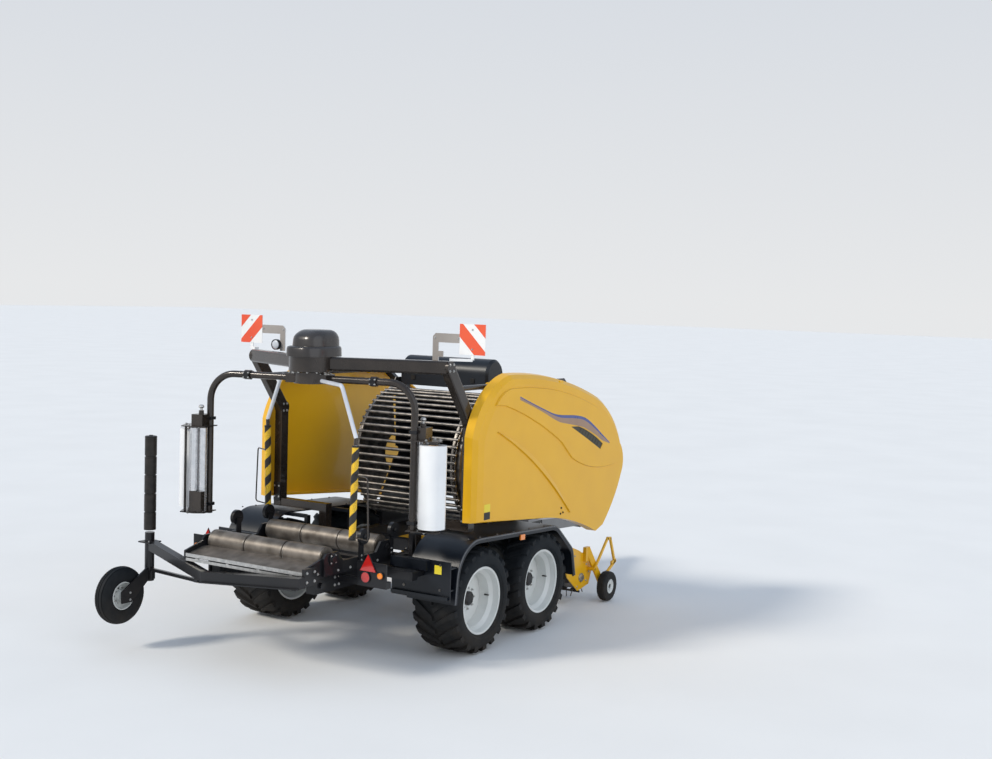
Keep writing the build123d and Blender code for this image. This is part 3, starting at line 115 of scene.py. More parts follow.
def add_dust(material, colour, dust, reach, strength):
    """Earth that gathers near the ground and thins out at a height."""
    nodes = material.node_tree.nodes
    links = material.node_tree.links
    place = nodes.new("ShaderNodeNewGeometry")
    split = nodes.new("ShaderNodeSeparateXYZ")
    links.new(place.outputs["Position"], split.inputs["Vector"])
    height = nodes.new("ShaderNodeMapRange")
    height.inputs["From Min"].default_value = 0.0
    height.inputs["From Max"].default_value = reach
    height.inputs["To Min"].default_value = strength
    height.inputs["To Max"].default_value = 0.02
    links.new(split.outputs["Z"], height.inputs["Value"])
    patch = speckle(material, 9.0, 6.0)
    amount = nodes.new("ShaderNodeMath")
    amount.operation = "MULTIPLY"
    links.new(height.outputs["Result"], amount.inputs[0])
    links.new(patch.outputs["Fac"], amount.inputs[1])
    mix = nodes.new("ShaderNodeMix")
    mix.data_type = "RGBA"
    links.new(amount.outputs["Value"], mix.inputs["Factor"])
    links.new(colour, mix.inputs["A"])
    mix.inputs["B"].default_value = (*dust, 1)
    return mix.outputs["Result"]


def finish_of(
    name, low, high, rough, metal=0.0, coat=0.0, scale=3.0, grain=400.0, bump=0.04, dust=None
):
    """A painted, moulded or metal finish with gentle colour change and a fine grain."""
    material, shader = node_material(name)
    links = material.node_tree.links
    nodes = material.node_tree.nodes
    broad = speckle(material, scale)
    colour = mix_colours(material, broad.outputs["Fac"], low, high)
    if dust:
        colour = add_dust(material, colour, *dust)
    links.new(colour, shader.inputs["Base Color"])
    spread = nodes.new("ShaderNodeMapRange")
    spread.inputs["To Min"].default_value = max(rough - 0.06, 0.02)
    spread.inputs["To Max"].default_value = min(rough + 0.06, 1.0)
    links.new(broad.outputs["Fac"], spread.inputs["Value"])
    links.new(spread.outputs["Result"], shader.inputs["Roughness"])
    fine = speckle(material, grain, 2.0)
    relief = nodes.new("ShaderNodeBump")
    relief.inputs["Strength"].default_value = bump
    relief.inputs["Distance"].default_value = 0.002
    links.new(fine.outputs["Fac"], relief.inputs["Height"])
    links.new(relief.outputs["Normal"], shader.inputs["Normal"])
    shader.inputs["Metallic"].default_value = metal
    shader.inputs["Coat Weight"].default_value = coat
    shader.inputs["Coat Roughness"].default_value = 0.06
    return material


# Colour of the earth, the height that it reaches, and its strength at the ground
EARTH = ((0.11, 0.075, 0.042), 0.75, 0.34)
YELLOW = finish_of("yellow", (0.77, 0.405, 0.006), (0.80, 0.43, 0.008), 0.34, coat=0.3, bump=0.015)
BLACK = finish_of(
    "black_paint", (0.006, 0.007, 0.009), (0.010, 0.010, 0.012), 0.32, coat=0.2, dust=EARTH
)
RIM = finish_of("rim_paint", (0.60, 0.62, 0.60), (0.68, 0.69, 0.67), 0.34, coat=0.3)
TYRE = finish_of(
    "tyre", (0.007, 0.010, 0.013), (0.012, 0.015, 0.018), 0.66, scale=14, bump=0.12, dust=EARTH
)
STEEL = finish_of("steel", (0.10, 0.095, 0.09), (0.24, 0.22, 0.20), 0.40, metal=0.85, scale=14)
PLASTIC = finish_of("black_plastic", (0.005, 0.007, 0.011), (0.009, 0.012, 0.017), 0.34, grain=900)
FILM = finish_of("film", (0.80, 0.81, 0.82), (0.86, 0.87, 0.87), 0.22, coat=0.5, bump=0.02)
RUBBER = finish_of("rubber", (0.010, 0.009, 0.008), (0.024, 0.020, 0.017), 0.38, scale=12)
SIGN_WHITE = finish_of("sign_white", (0.76, 0.76, 0.75), (0.82, 0.82, 0.81), 0.35)
SIGN_RED = finish_of("sign_red", (0.72, 0.075, 0.025), (0.78, 0.10, 0.035), 0.35)
LENS_RED = finish_of("lens_red", (0.42, 0.012, 0.010), (0.50, 0.016, 0.012), 0.12, coat=0.9)
LENS_AMBER = finish_of("lens_amber", (0.80, 0.20, 0.012), (0.86, 0.25, 0.016), 0.12, coat=0.9)
TUBE = finish_of(
    "tube_paint", (0.022, 0.017, 0.014), (0.040, 0.031, 0.025), 0.25, metal=0.35, coat=0.4
)
COVER = finish_of("cover", (0.030, 0.027, 0.026), (0.048, 0.043, 0.041), 0.26, metal=0.3, coat=0.3)
ZINC = finish_of("zinc", (0.42, 0.42, 0.41), (0.58, 0.57, 0.55), 0.34, metal=0.9, scale=30)
ALLOY = finish_of("alloy", (0.62, 0.63, 0.65), (0.74, 0.74, 0.75), 0.24, metal=0.85, scale=20)
WORN = finish_of("worn_steel", (0.10, 0.085, 0.07), (0.20, 0.175, 0.15), 0.42, metal=0.55, scale=9)
PALE_ROD = finish_of("pale_rod", (0.50, 0.53, 0.58), (0.62, 0.65, 0.70), 0.30, coat=0.4)
BEIGE = finish_of("beige_paint", (0.26, 0.235, 0.215), (0.33, 0.30, 0.275), 0.45)
BLUE = finish_of("blue_stripe", (0.012, 0.035, 0.20), (0.016, 0.045, 0.24), 0.28, coat=0.5)
TAUPE = finish_of("taupe_stripe", (0.27, 0.15, 0.085), (0.33, 0.19, 0.11), 0.35, coat=0.4)
LABEL = finish_of("label_yellow", (0.78, 0.62, 0.03), (0.84, 0.68, 0.05), 0.4)
SLEEVE = finish_of("sleeve_yellow", (0.83, 0.50, 0.015), (0.88, 0.55, 0.02), 0.4)
# The mudguards' rolled lips, a paler grey than the mudguards: a painted reflection of the sky, not
# their own colour
BEAD_PAINTED_REFLECTION = finish_of("guard_bead_painted_reflection", (0.055, 0.058, 0.064), (0.085, 0.088, 0.094), 0.28, coat=0.4)
VENT = finish_of("vent", (0.030, 0.028, 0.018), (0.050, 0.046, 0.028), 0.5)
CARD = finish_of("card", (0.36, 0.22, 0.12), (0.42, 0.27, 0.15), 0.75)
INK = finish_of("dark_mark", (0.010, 0.010, 0.010), (0.016, 0.015, 0.014), 0.5)

# How strongly the darker and the broad painted finishes mirror the sky
GLOSS = {YELLOW: 0.3, BLACK: 0.28, TYRE: 0.16, PLASTIC: 0.34, RUBBER: 0.3, TUBE: 0.4, COVER: 0.4}
for material, level in GLOSS.items():
    material.node_tree.nodes["Principled BSDF"].inputs["Specular IOR Level"].default_value = level

FINISHES = {
    "yellow": YELLOW,
    "black_paint": BLACK,
    "rim_paint": RIM,
    "tyre": TYRE,
    "steel": STEEL,
    "black_plastic": PLASTIC,
    "film": FILM,
    "rubber": RUBBER,
    "sign": SIGN_WHITE,
    "lamp": LENS_RED,
}
NODE_FINISHES = {
    "wrap_arm": TUBE,
    "arm_support": TUBE,
    "hub_cover": COVER,
    "turner_rim": RIM,
    "table_roller_front": WORN,
    "table_roller_rear": WORN,
}

# Each construction node takes the finish of its own slot, or one of its own
for part in frame["record"]["subparts"]:
    node = frame["nodes"][part["node"]]
    finish = NODE_FINISHES.get(part["node"], FINISHES[part["material_slot"]])
    node.data.materials.clear()
    node.data.materials.append(finish)


# Shapes
def along(direction):
    """A turn that brings +Z onto a direction."""
    return Vector(direction).to_track_quat("Z", "Y").to_matrix().to_4x4()


def at(x, y, z):
    """A shift."""
    return Matrix.Translation((x, y, z))


def aim(place, direction):
    """A place whose +Z points in a direction."""
    return Matrix.Translation(place) @ along(direction)


def about_y(x, y, z, side=1):
    """A place whose +Z points along the machine's +Y, or -Y for side -1."""
    return aim((x, y, z), (0, side, 0))


def upright(y, side):
    """A place on a face across Y: pairs are x and z, and +Z points outward."""
    return Matrix(((1, 0, 0, 0), (0, 0, side, side * y), (0, 1, 0, 0), (0, 0, 0, 1)))


def crosswise(x, out, side):
    """A place on a face across X: pairs are y from the middle and z, and +Z points along out."""
    return Matrix(((0, 0, out, x), (side, 0, 0, 0), (0, 1, 0, 0), (0, 0, 0, 1)))


def moved(place, points):
    """Points that are given in a place's own directions."""
    return [place @ Vector(point) for point in points]


def spread(centre, x=(0,), y=(0,), z=(0,)):
    """Points at every mix of shifts from a centre."""
    return [(centre[0] + a, centre[1] + b, centre[2] + c) for a in x for b in y for c in z]


def skin(rings, sides, around=True, closed=False, ends=False):
    """Faces between rings of points; closed joins the last ring to the first, ends caps them."""
    faces = []
    for ring in range(rings if closed else rings - 1):
        low = ring * sides
        high = (ring + 1) % rings * sides
        for index in range(sides if around else sides - 1):
            after = (index + 1) % sides
            faces.append((low + index, low + after, high + after, high + index))
    if ends:
        faces.append(tuple(reversed(range(sides))))
        faces.append(tuple(range((rings - 1) * sides, rings * sides)))
    return faces


class Batch:
    """Simple shapes gathered into one mesh."""

    def __init__(self):
        self.points = []
        self.faces = []

    def add(self, points, faces, place=None):
        """Points and the faces between them, moved to a place."""
        start = len(self.points)
        self.points += moved(place or Matrix(), points)
        self.faces += [[start + index for index in face] for face in faces]

    def box(self, centre, size, place=None):
        """A box about a centre."""
        x, y, z = ((-value / 2, value / 2) for value in size)
        faces = [(0, 1, 3, 2), (4, 6, 7, 5), (0, 4, 5, 1), (2, 3, 7, 6), (0, 2, 6, 4), (1, 5, 7, 3)]
        self.add(spread(centre, x, y, z), faces, place)

    def lathe(self, stations, place, sides=32, closed=False):
        """A form turned about the place's Z axis, from pairs of height and radius."""
        points = [(a, b, height) for height, radius in stations for a, b in circle(radius, sides)]
        self.add(points, skin(len(stations), sides, closed=closed, ends=not closed), place)

    def rod(self, start, end, radius, sides=14):
        """A round bar between two points."""
        run = Vector(end) - Vector(start)
        self.lathe([(0, radius), (run.length, radius)], aim(start, run), sides)

    def tube(self, path, radius, sides=12):
        """A round bar along a line of points."""
        path = [Vector(point) for point in path]
        points = []
        for point, before, after in zip(path, path[:1] + path, path[1:] + path[-1:]):
            ring = [(a, b, 0) for a, b in circle(radius, sides)]
            points += moved(aim(point, after - before), ring)
        self.add(points, skin(len(path), sides, ends=True))

    def bolt(self, place, outward, size=0.012):
        """A hexagon head on a washer."""
        seat = aim(place, outward)
        self.lathe([(0, size * 1.3), (size * 0.22, size * 1.3)], seat, 16)
        head = [(size * 0.2, size), (size * 0.8, size), (size * 0.95, size * 0.85)]
        self.lathe(head, seat, 6)
        self.lathe([(size * 0.9, size * 0.5), (size * 1.25, size * 0.5)], seat, 10)

    def bolts(self, places, outward, size=0.012):
        """Bolts that all face one way."""
        for place in places:
            self.bolt(place, outward, size)

    def prism(self, outline, depth, place):
        """A flat shape given by pairs, thickened along the place's Z axis."""
        points = [(a, b, height) for height in (0, depth) for a, b in outline]
        self.add(points, skin(2, len(outline), ends=True), place)

    def ribbon(self, upper, lower, thickness, place):
        """A thin strip between two lines of the same number of pairs."""
        count = len(upper)
        rows = [(upper, 0), (lower, 0), (lower, thickness), (upper, thickness)]
        points = [(a, b, height) for line, height in rows for a, b in line]
        faces = skin(4, count, around=False, closed=True)
        faces += [tuple(row * count + index for row in range(4)) for index in (0, count - 1)]
        self.add(points, faces, place)

    def finish(self, name, body, slot, material, edge=0.0, smooth=38):
        """The shapes as one piece that moves with a body."""
        mesh = bpy.data.meshes.new(name)
        form = bmesh.new()
        corners = [form.verts.new(point) for point in self.points]
        for face in self.faces:
            form.faces.new([corners[index] for index in face])
        bmesh.ops.recalc_face_normals(form, faces=form.faces)
        if edge > 0:
            keen = [e for e in form.edges if e.is_manifold and e.calc_face_angle(0) > radians(50)]
            bmesh.ops.bevel(form, geom=keen, offset=edge, segments=1, affect="EDGES")
        form.to_mesh(mesh)
        form.free()
        mesh.materials.append(material)
        for polygon in mesh.polygons:
            polygon.use_smooth = True
        mesh.set_sharp_from_angle(angle=radians(smooth))
        piece = bpy.data.objects.new(name, mesh)
        bpy.context.scene.collection.objects.link(piece)
        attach(piece, body)
        return piece


def circle(radius, count, first=0.0, span=360.0):
    """Pairs on a circle, evenly spaced over a span in degrees."""
    steps = count if span >= 360 else count - 1
    angles = [radians(first + span * index / steps) for index in range(count)]
    return [(radius * cos(angle), radius * sin(angle)) for angle in angles]


def bent(points, bends, steps=8):
    """A rigid bar's line: straight runs with an arc at each corner."""
    points = [Vector(point) for point in points]
    line = [points[0]]
    for before, corner, after, bend in zip(points, points[1:], points[2:], bends):
        back = (before - corner).normalized()
        ahead = (after - corner).normalized()
        half = back.angle(ahead) / 2
        reach = bend / max(sin(half) / cos(half), 0.001)
        centre = corner + (back + ahead).normalized() * bend / sin(half)
        first = corner + back * reach - centre
        last = corner + ahead * reach - centre
        for step in range(steps + 1):
            line.append(centre + turned(first, last, step / steps))
    line.append(points[-1])
    return line


def turned(first, last, share):
    """A vector part of the way round from one to another of the same length."""
    angle = first.angle(last)
    if angle < 1e-5:
        return first.lerp(last, share)
    return (sin((1 - share) * angle) * first + sin(share * angle) * last) / sin(angle)


# Main tyres: rounded flanks with ribs, and two rows of curved lugs
FLANK = [
    (0.196, 0.303), (0.216, 0.306), (0.222, 0.320), (0.234, 0.338), (0.242, 0.352),
    (0.246, 0.353), (0.248, 0.360), (0.249, 0.380), (0.2495, 0.395), (0.247, 0.414),
    (0.241, 0.432), (0.229, 0.450), (0.208, 0.464), (0.175, 0.473), (0.130, 0.4775),
    (0.060, 0.4800),
]
LUGS = 20
LUG_STEPS = 9
# A lug: where it starts, its run outward, its slant and how that eases, half its width and its
# flare, the depth of its foot, the fall of its crown, and its radius at the outer end
LUG_START = 0.008
LUG_RUN = 0.232
LUG_SLANT = 0.19
LUG_EASE = 0.05
LUG_HALF = 0.021
LUG_FLARE = 0.010
LUG_FOOT = 0.006
LUG_FALL = 0.012
LUG_END = 0.478


def both_flanks(flank):
    """A tyre's closed section, from one flank's pairs of distance and radius."""
    return flank + [(-a, r) for a, r in reversed(flank)]


def flank_radius(y):
    """The tyre body's radius at a distance from its middle plane, on the tread side."""
    side = [(a, r) for a, r in reversed(FLANK) if r > 0.43]
    for (near, high), (far, low) in zip(side, side[1:]):
        if y <= near:
            return high
        if y <= far:
            return high + (low - high) * (y - near) / (far - near)
    return side[-1][1]


def make_tyre(seat):
    """A lugged tyre about a place's Y axis."""
    shape = Batch()
    shape.lathe(both_flanks(FLANK), seat @ along((0, 1, 0)), 96, closed=True)
    for row in (-1, 1):
        for index in range(LUGS):
            start = radians((index + 0.25 * row) * 360 / LUGS)
            points = []
            for step in range(LUG_STEPS):
                share = step / (LUG_STEPS - 1)
                y = LUG_START + LUG_RUN * share
                lead = LUG_SLANT * share - LUG_EASE * share**2
                half = LUG_HALF + LUG_FLARE * share
                base = flank_radius(y) - LUG_FOOT
                top = TYRE_RADIUS - 0.001 - LUG_FALL * share**2
                if share > 0.9:
                    top = LUG_END
                edge = half + LUG_FOOT
                for offset, reach in ((-edge, base), (-half, top), (half, top), (edge, base)):
                    angle = start + (lead + offset) / TYRE_BASE
                    points.append((reach * sin(angle), row * y, reach * cos(angle)))
            shape.add(points, skin(LUG_STEPS, 4, ends=True), seat)
    return shape


# Rings that stand proud of the rim: its rolled lip, the well's edge and the hub's seat
RIM_RINGS = [
    [(0.214, 0.319), (0.224, 0.3205), (0.2265, 0.316), (0.2235, 0.309), (0.214, 0.308)],
    [(0.126, 0.256), (0.136, 0.2575), (0.140, 0.262), (0.128, 0.263)],
    [(0.0565, 0.112), (0.060, 0.112), (0.060, 0.070), (0.0565, 0.070)],
]


def make_wheels():
    """Tyres, and the nuts, caps and beads of the rims."""
    for place, axle_x in AXLES_X.items():
        for side_name, side in SIDES.items():
            name = f"{place}_{side_name}"
            body = f"wheel_{name}"
            tyre = make_tyre(at(axle_x, side * WHEEL_Y, TYRE_RADIUS))
            piece = tyre.finish(f"lugged_tyre_{name}", body, "tyre", TYRE)
            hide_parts(f"tyre_{name}")
            hub = about_y(axle_x, side * WHEEL_Y, TYRE_RADIUS, side)
            bead = Batch()
            for section in RIM_RINGS:
                bead.lathe(section, hub, 96, True)
            bead.finish(f"rim_bead_{name}", body, "rim_paint", RIM)
            cap = Batch()
            cap.lathe([(0.060, 0.067), (0.084, 0.067), (0.090, 0.058), (0.092, 0.030)], hub, 32)
            nuts = Batch()
            for a, b in circle(0.101, 8):
                nuts.lathe([(0.056, 0.0145), (0.064, 0.0145)], hub @ at(a, b, 0), 6)
                nuts.lathe([(0.064, 0.0085), (0.078, 0.0085)], hub @ at(a, b, 0), 10)
            nuts.finish(f"wheel_nuts_{name}", body, "steel", ZINC)
            for a, b in circle(0.048, 4, 45):
                cap.lathe([(0.088, 0.007), (0.095, 0.007)], hub @ at(a, b, 0), 6)
            cap.finish(f"hub_cap_{name}", body, "black_paint", BLACK)
            stem = Batch()
            stem.lathe([(0.100, 0.008), (0.148, 0.006), (0.150, 0.004)], hub @ at(0.238, 0, 0), 10)
            stem.finish(f"valve_{name}", body, "rubber", RUBBER)


make_wheels()


# Doors: painted stripes, blank plates and small marks
def smooth_line(points, per=6):
    """More pairs on a smooth line through the given ones."""
    line = []
    count = len(points)
    for index in range(count - 1):
        a = Vector(points[max(index - 1, 0)])
        b = Vector(points[index])
        c = Vector(points[index + 1])
        d = Vector(points[min(index + 2, count - 1)])
        for step in range(per):
            t = step / per
            bend = (2 * a - 5 * b + 4 * c - d) * t**2 + (3 * b - a - 3 * c + d) * t**3
            line.append(tuple((2 * b + (c - a) * t + bend) / 2))
    line.append(tuple(points[-1]))
    return line


def arc_through(first, middle, last, count):
    """Pairs on the circle through three pairs."""
    (ax, ay), (bx, by), (cx, cy) = first, middle, last
    twice = 2 * (ax * (by - cy) + bx * (cy - ay) + cx * (ay - by))
    a2, b2, c2 = ax * ax + ay * ay, bx * bx + by * by, cx * cx + cy * cy
    x = (a2 * (by - cy) + b2 * (cy - ay) + c2 * (ay - by)) / twice
    y = (a2 * (cx - bx) + b2 * (ax - cx) + c2 * (bx - ax)) / twice
    radius = hypot(ax - x, ay - y)
    start = atan2(ay - y, ax - x)
    span = atan2(cy - y, cx - x) - start
    span -= 2 * pi * round(span / (2 * pi))
    angles = [start + span * index / (count - 1) for index in range(count)]
    return [(x + radius * cos(angle), y + radius * sin(angle)) for angle in angles]


# Columns: x, top of the blue stripe, its bottom, and the bottom of the taupe one
STRIPES = [
    (-0.626, 2.400, 2.390, 2.366), (-0.375, 2.319, 2.308, 2.289), (-0.149, 2.250, 2.238, 2.213),
    (0.036, 2.196, 2.180, 2.144), (0.180, 2.172, 2.146, 2.098), (0.320, 2.161, 2.131, 2.074),
    (0.514, 2.147, 2.116, 2.043), (0.690, 2.119, 2.089, 2.010), (0.817, 2.075, 2.044, 1.968),
    (0.975, 1.995, 1.968, 1.911), (1.137, 1.903, 1.883, 1.838), (1.317, 1.803, 1.794, 1.789),
]
# Edges of the crescent rib and of the air vent, each through three pairs of x and z
RIB_ARCS = [
    ((-1.004, 2.077), (-0.105, 1.655), (0.464, 1.133)),
    ((-1.004, 2.077), (-0.150, 1.620), (0.464, 1.133)),
]
VENT_TIP = (0.436, 2.0330)
VENT_ARCS = [
    ((0.591, 2.025), (0.900, 1.9235), (1.150, 1.799)),
    ((0.560, 1.981), (0.800, 1.8800), (1.102, 1.746)),
]
BOTTOM_PLATES = [
    (1.330, 1.403, "label_plate", LABEL), (1.256, 1.326, "dark_plate", INK),
]
PLATE_ENDS = (-1.206, -1.100)
# Rows of the rib: which of its edges, how far it stands off the door, how far it drops
RIB_ROWS = [(0, 0.0076, 0), (1, 0.0170, 0), (1, -0.0010, 0.010)]
RIB_STEPS = 28
VENT_STEPS = 20
VENT_SLATS = range(2, 18, 2)
SLAT_WIDTH = 0.009
SUNK = 0.0004
DOOR_BOLTS = [(0.290, 1.196), (0.329, 1.145), (0.277, 1.137)]


def make_door_marks():
    """Stripes, plates, rib, vent and bolts on both doors."""
    stripes = [smooth_line([(row[0], row[column]) for row in STRIPES]) for column in (1, 2, 3)]
    rib_edges = [arc_through(*arc, RIB_STEPS) for arc in RIB_ARCS]
    vent_edges = [arc_through(*arc, VENT_STEPS) for arc in VENT_ARCS]
    for side_name, side in SIDES.items():
        body = f"door_{side_name}"
        panel = upright(PANEL_FACE - SUNK, side)
        blue = Batch()
        blue.ribbon(stripes[0], stripes[1], 0.0012, panel)
        blue.finish(f"blue_stripe_{side_name}", body, "sign", BLUE)
        taupe = Batch()
        taupe.ribbon(stripes[1], stripes[2], 0.0009, panel)
        taupe.finish(f"taupe_stripe_{side_name}", body, "sign", TAUPE)
        rear, front = PLATE_ENDS
        for low, high, name, material in BOTTOM_PLATES:
            label = Batch()
            outline = [(rear, low), (front, low), (front, high), (rear, high)]
            label.prism(outline, 0.0016, upright(DOOR_FACE - SUNK, side))
            label.finish(f"{name}_{side_name}", body, "sign", material)
        rib = Batch()
        points = []
        for edge, proud, drop in RIB_ROWS:
            line = [(a, b - drop, 0) for a, b in rib_edges[edge]]
            points += moved(upright(DOOR_FACE + proud, side), line)
        rib.add(points, skin(len(RIB_ROWS), RIB_STEPS, around=False))
        rib.finish(f"crescent_rib_{side_name}", body, "yellow", YELLOW, smooth=30)
        vent = Batch()
        top, bottom = ([VENT_TIP] + edge for edge in vent_edges)
        vent.ribbon(top, bottom, 0.0012, upright(DOOR_FACE + 0.0086, side))
        for index in VENT_SLATS:
            a, b = (Vector(edge[index]) for edge in vent_edges)
            near, far = a.lerp(b, 0.06), a.lerp(b, 0.94)
            across = Vector((SLAT_WIDTH, 0))
            slat = [near, far, far + across, near + across]
            vent.prism(slat, 0.0030, upright(DOOR_FACE + 0.0096, side))
        vent.finish(f"vent_grille_{side_name}", body, "black_plastic", VENT)
        catch = Batch()
        catch.bolts([(x, side * DOOR_FACE, z) for x, z in DOOR_BOLTS], (0, side, 0), 0.009)
        for x in (-0.9, 0.24):
            hinge = (x, side * 1.255, 2.520)
            catch.bolts(spread(hinge, x=(-0.018, 0.018)), (0, 0, 1), 0.008)
        catch.finish(f"door_bolts_{side_name}", body, "steel", INK)


make_door_marks()


# Warning boards with slanting red bands
def band(first, last):
    """The part of a unit square between two slanting lines."""
    def ends(s):
        return ((s, 0), (0, s)) if s <= 1 else ((1, s - 1), (s - 1, 1))

    high, low = ends(first)
    far_high, far_low = ends(last)
    outline = [high, low]
    if first < 1 < last:
        outline.append((0, 1))
    outline += [far_low, far_high]
    if first < 1 < last:
        outline.append((1, 0))
    return outline


BOARD_SIZE = 0.282
BOARD_Y = 1.342
BOARD_Z = 2.964
BOARD_FACES = [(-1.507, -1), (-1.503, 1)]
BRACKET_FACES = [(-1.5034, -1), (-1.4948, 1)]
BRACKET_OUTLINE = [
    (0.900, 2.755), (0.965, 2.755), (0.965, 2.790), (1.020, 2.790), (1.020, 2.845),
    (0.965, 2.845), (0.965, 2.925), (1.200, 2.925), (1.200, 3.010), (0.930, 3.010),
    (0.900, 2.980),
]


def make_boards():
    """Red bands on both faces of the boards, their bolts, and the pale brackets."""
    size = BOARD_SIZE
    for side_name, side in SIDES.items():
        outer = side * (BOARD_Y + size / 2)
        top = BOARD_Z + size / 2
        red = Batch()
        for x, out in BOARD_FACES:
            rows = ((0, 0, out, x), (-side * size, 0, 0, outer), (0, -size, 0, top), (0, 0, 0, 1))
            place = Matrix(rows)
            red.prism([(0, 0), (0.45, 0), (0, 0.45)], 0.0012, place)
            red.prism(band(0.88, 1.42), 0.0012, place)
        red.finish(f"board_bands_{side_name}", "chassis", "sign", SIGN_RED)
        fasteners = Batch()
        board = (-1.508, side * BOARD_Y, BOARD_Z)
        fasteners.bolts(spread(board, z=(-0.09, 0.09)), (-1, 0, 0), 0.007)
        fasteners.bolts([(-1.503, side * y, 2.968) for y in (0.925, 1.185)], (-1, 0, 0), 0.008)
        fasteners.finish(f"board_bolts_{side_name}", "chassis", "steel", ZINC)
        cover = Batch()
        for x, out in BRACKET_FACES:
            cover.prism(BRACKET_OUTLINE, 0.0008, crosswise(x, out, side))
        cover.finish(f"light_bracket_{side_name}", "chassis", "black_paint", BEIGE)


make_boards()


# Wrapping arm: film cores, bright rollers, pale rods and striped sleeves
ARM_FRAME = at(ARM_X, 0, 0) @ Matrix.Rotation(ARM_TURN, 4, "Z")
LOWER_PLATE = 1.232
UPPER_PLATE = 2.052
PLATE_BOLTS = [(-0.160, 1.205), (-0.060, 1.300), (0.030, 1.200), (-0.020, 1.080)]
LEG_Y = 1.071
CLAMP_Y = 0.660
BRAKE_ROLLER = (-0.110, 1.075)
# Stretch rollers: x, y and the height at which the bright part starts
STRETCH_ROLLERS = [(-0.150, 1.150, 1.440), (*BRAKE_ROLLER, LOWER_PLATE + 0.012)]
KNOB = [(0, 0.012), (0.020, 0.012), (0.024, 0.022), (0.034, 0.027), (0.046, 0.024), (0.054, 0.012)]
ROD_LINE = [(0.083, 0.167, 2.545), (0.479, 0.579, 2.545), (0.525, 0.752, 2.100)]
SLEEVE_TOP = Vector((0.531, 0.754, 2.025))
SLEEVE_FOOT = Vector((0.593, 0.771, 1.215))
SLEEVE_RADIUS = 0.0315
SLEEVE_TURNS = 4.5
SLEEVE_RINGS = 90
SLEEVE_SIDES = 16
WINDINGS = (0.060, 0.074, 0.087, 0.099, 0.109, 0.117)


def make_sleeve(place, name, first, material):
    """Half of the columns of a sleeve whose two colours wind round it."""
    run = SLEEVE_FOOT - SLEEVE_TOP
    points = []
    for ring in range(SLEEVE_RINGS + 1):
        share = ring / SLEEVE_RINGS
        turn = 360 * (first / SLEEVE_SIDES + SLEEVE_TURNS * share)
        half = circle(SLEEVE_RADIUS, SLEEVE_SIDES // 2 + 1, turn, 180)
        points += [(a, b, run.length * share) for a, b in half]
    shape = Batch()
    faces = skin(SLEEVE_RINGS + 1, SLEEVE_SIDES // 2 + 1, around=False)
    shape.add(points, faces, place @ aim(SLEEVE_TOP, run))
    return shape.finish(name, "wrap_arm", "sign", material)


def make_film(side_name, centre):
    """The card core, the wound edges and the loose tail of a film roll."""
    body = f"film_{side_name}"
    core = Batch()
    low, high = FILM_MID - FILM_HALF - 0.0045, FILM_MID + FILM_HALF + 0.0045
    wall = [(low, 0.0383), (low, 0.0450), (high, 0.0450), (high, 0.0383)]
    core.lathe(wall, at(*centre), 48, True)
    core.finish(f"film_core_{side_name}", body, "film", CARD)
    winding = Batch()
    for out in (-1, 1):
        face = aim((centre.x, centre.y, FILM_MID + out * FILM_HALF), (0, 0, out))
        for radius in WINDINGS:
            section = [(0, radius), (0.0008, radius + 0.002), (0, radius + 0.004)]
            winding.lathe(section, face, 48, True)
    tail = []
    for angle, lift in ((-6, 0.0007), (-3, 0.0007), (0, 0.0002)):
        for out in (-1, 1):
            reach = FILM_RADIUS + lift
            height = FILM_MID + out * (FILM_HALF - 0.001)
            tail.append((reach * cos(radians(angle)), reach * sin(radians(angle)), height))
    winding.add(tail, [(0, 2, 3, 1), (2, 4, 5, 3)], at(centre.x, centre.y, 0))
    winding.finish(f"film_winding_{side_name}", body, "film", FILM)


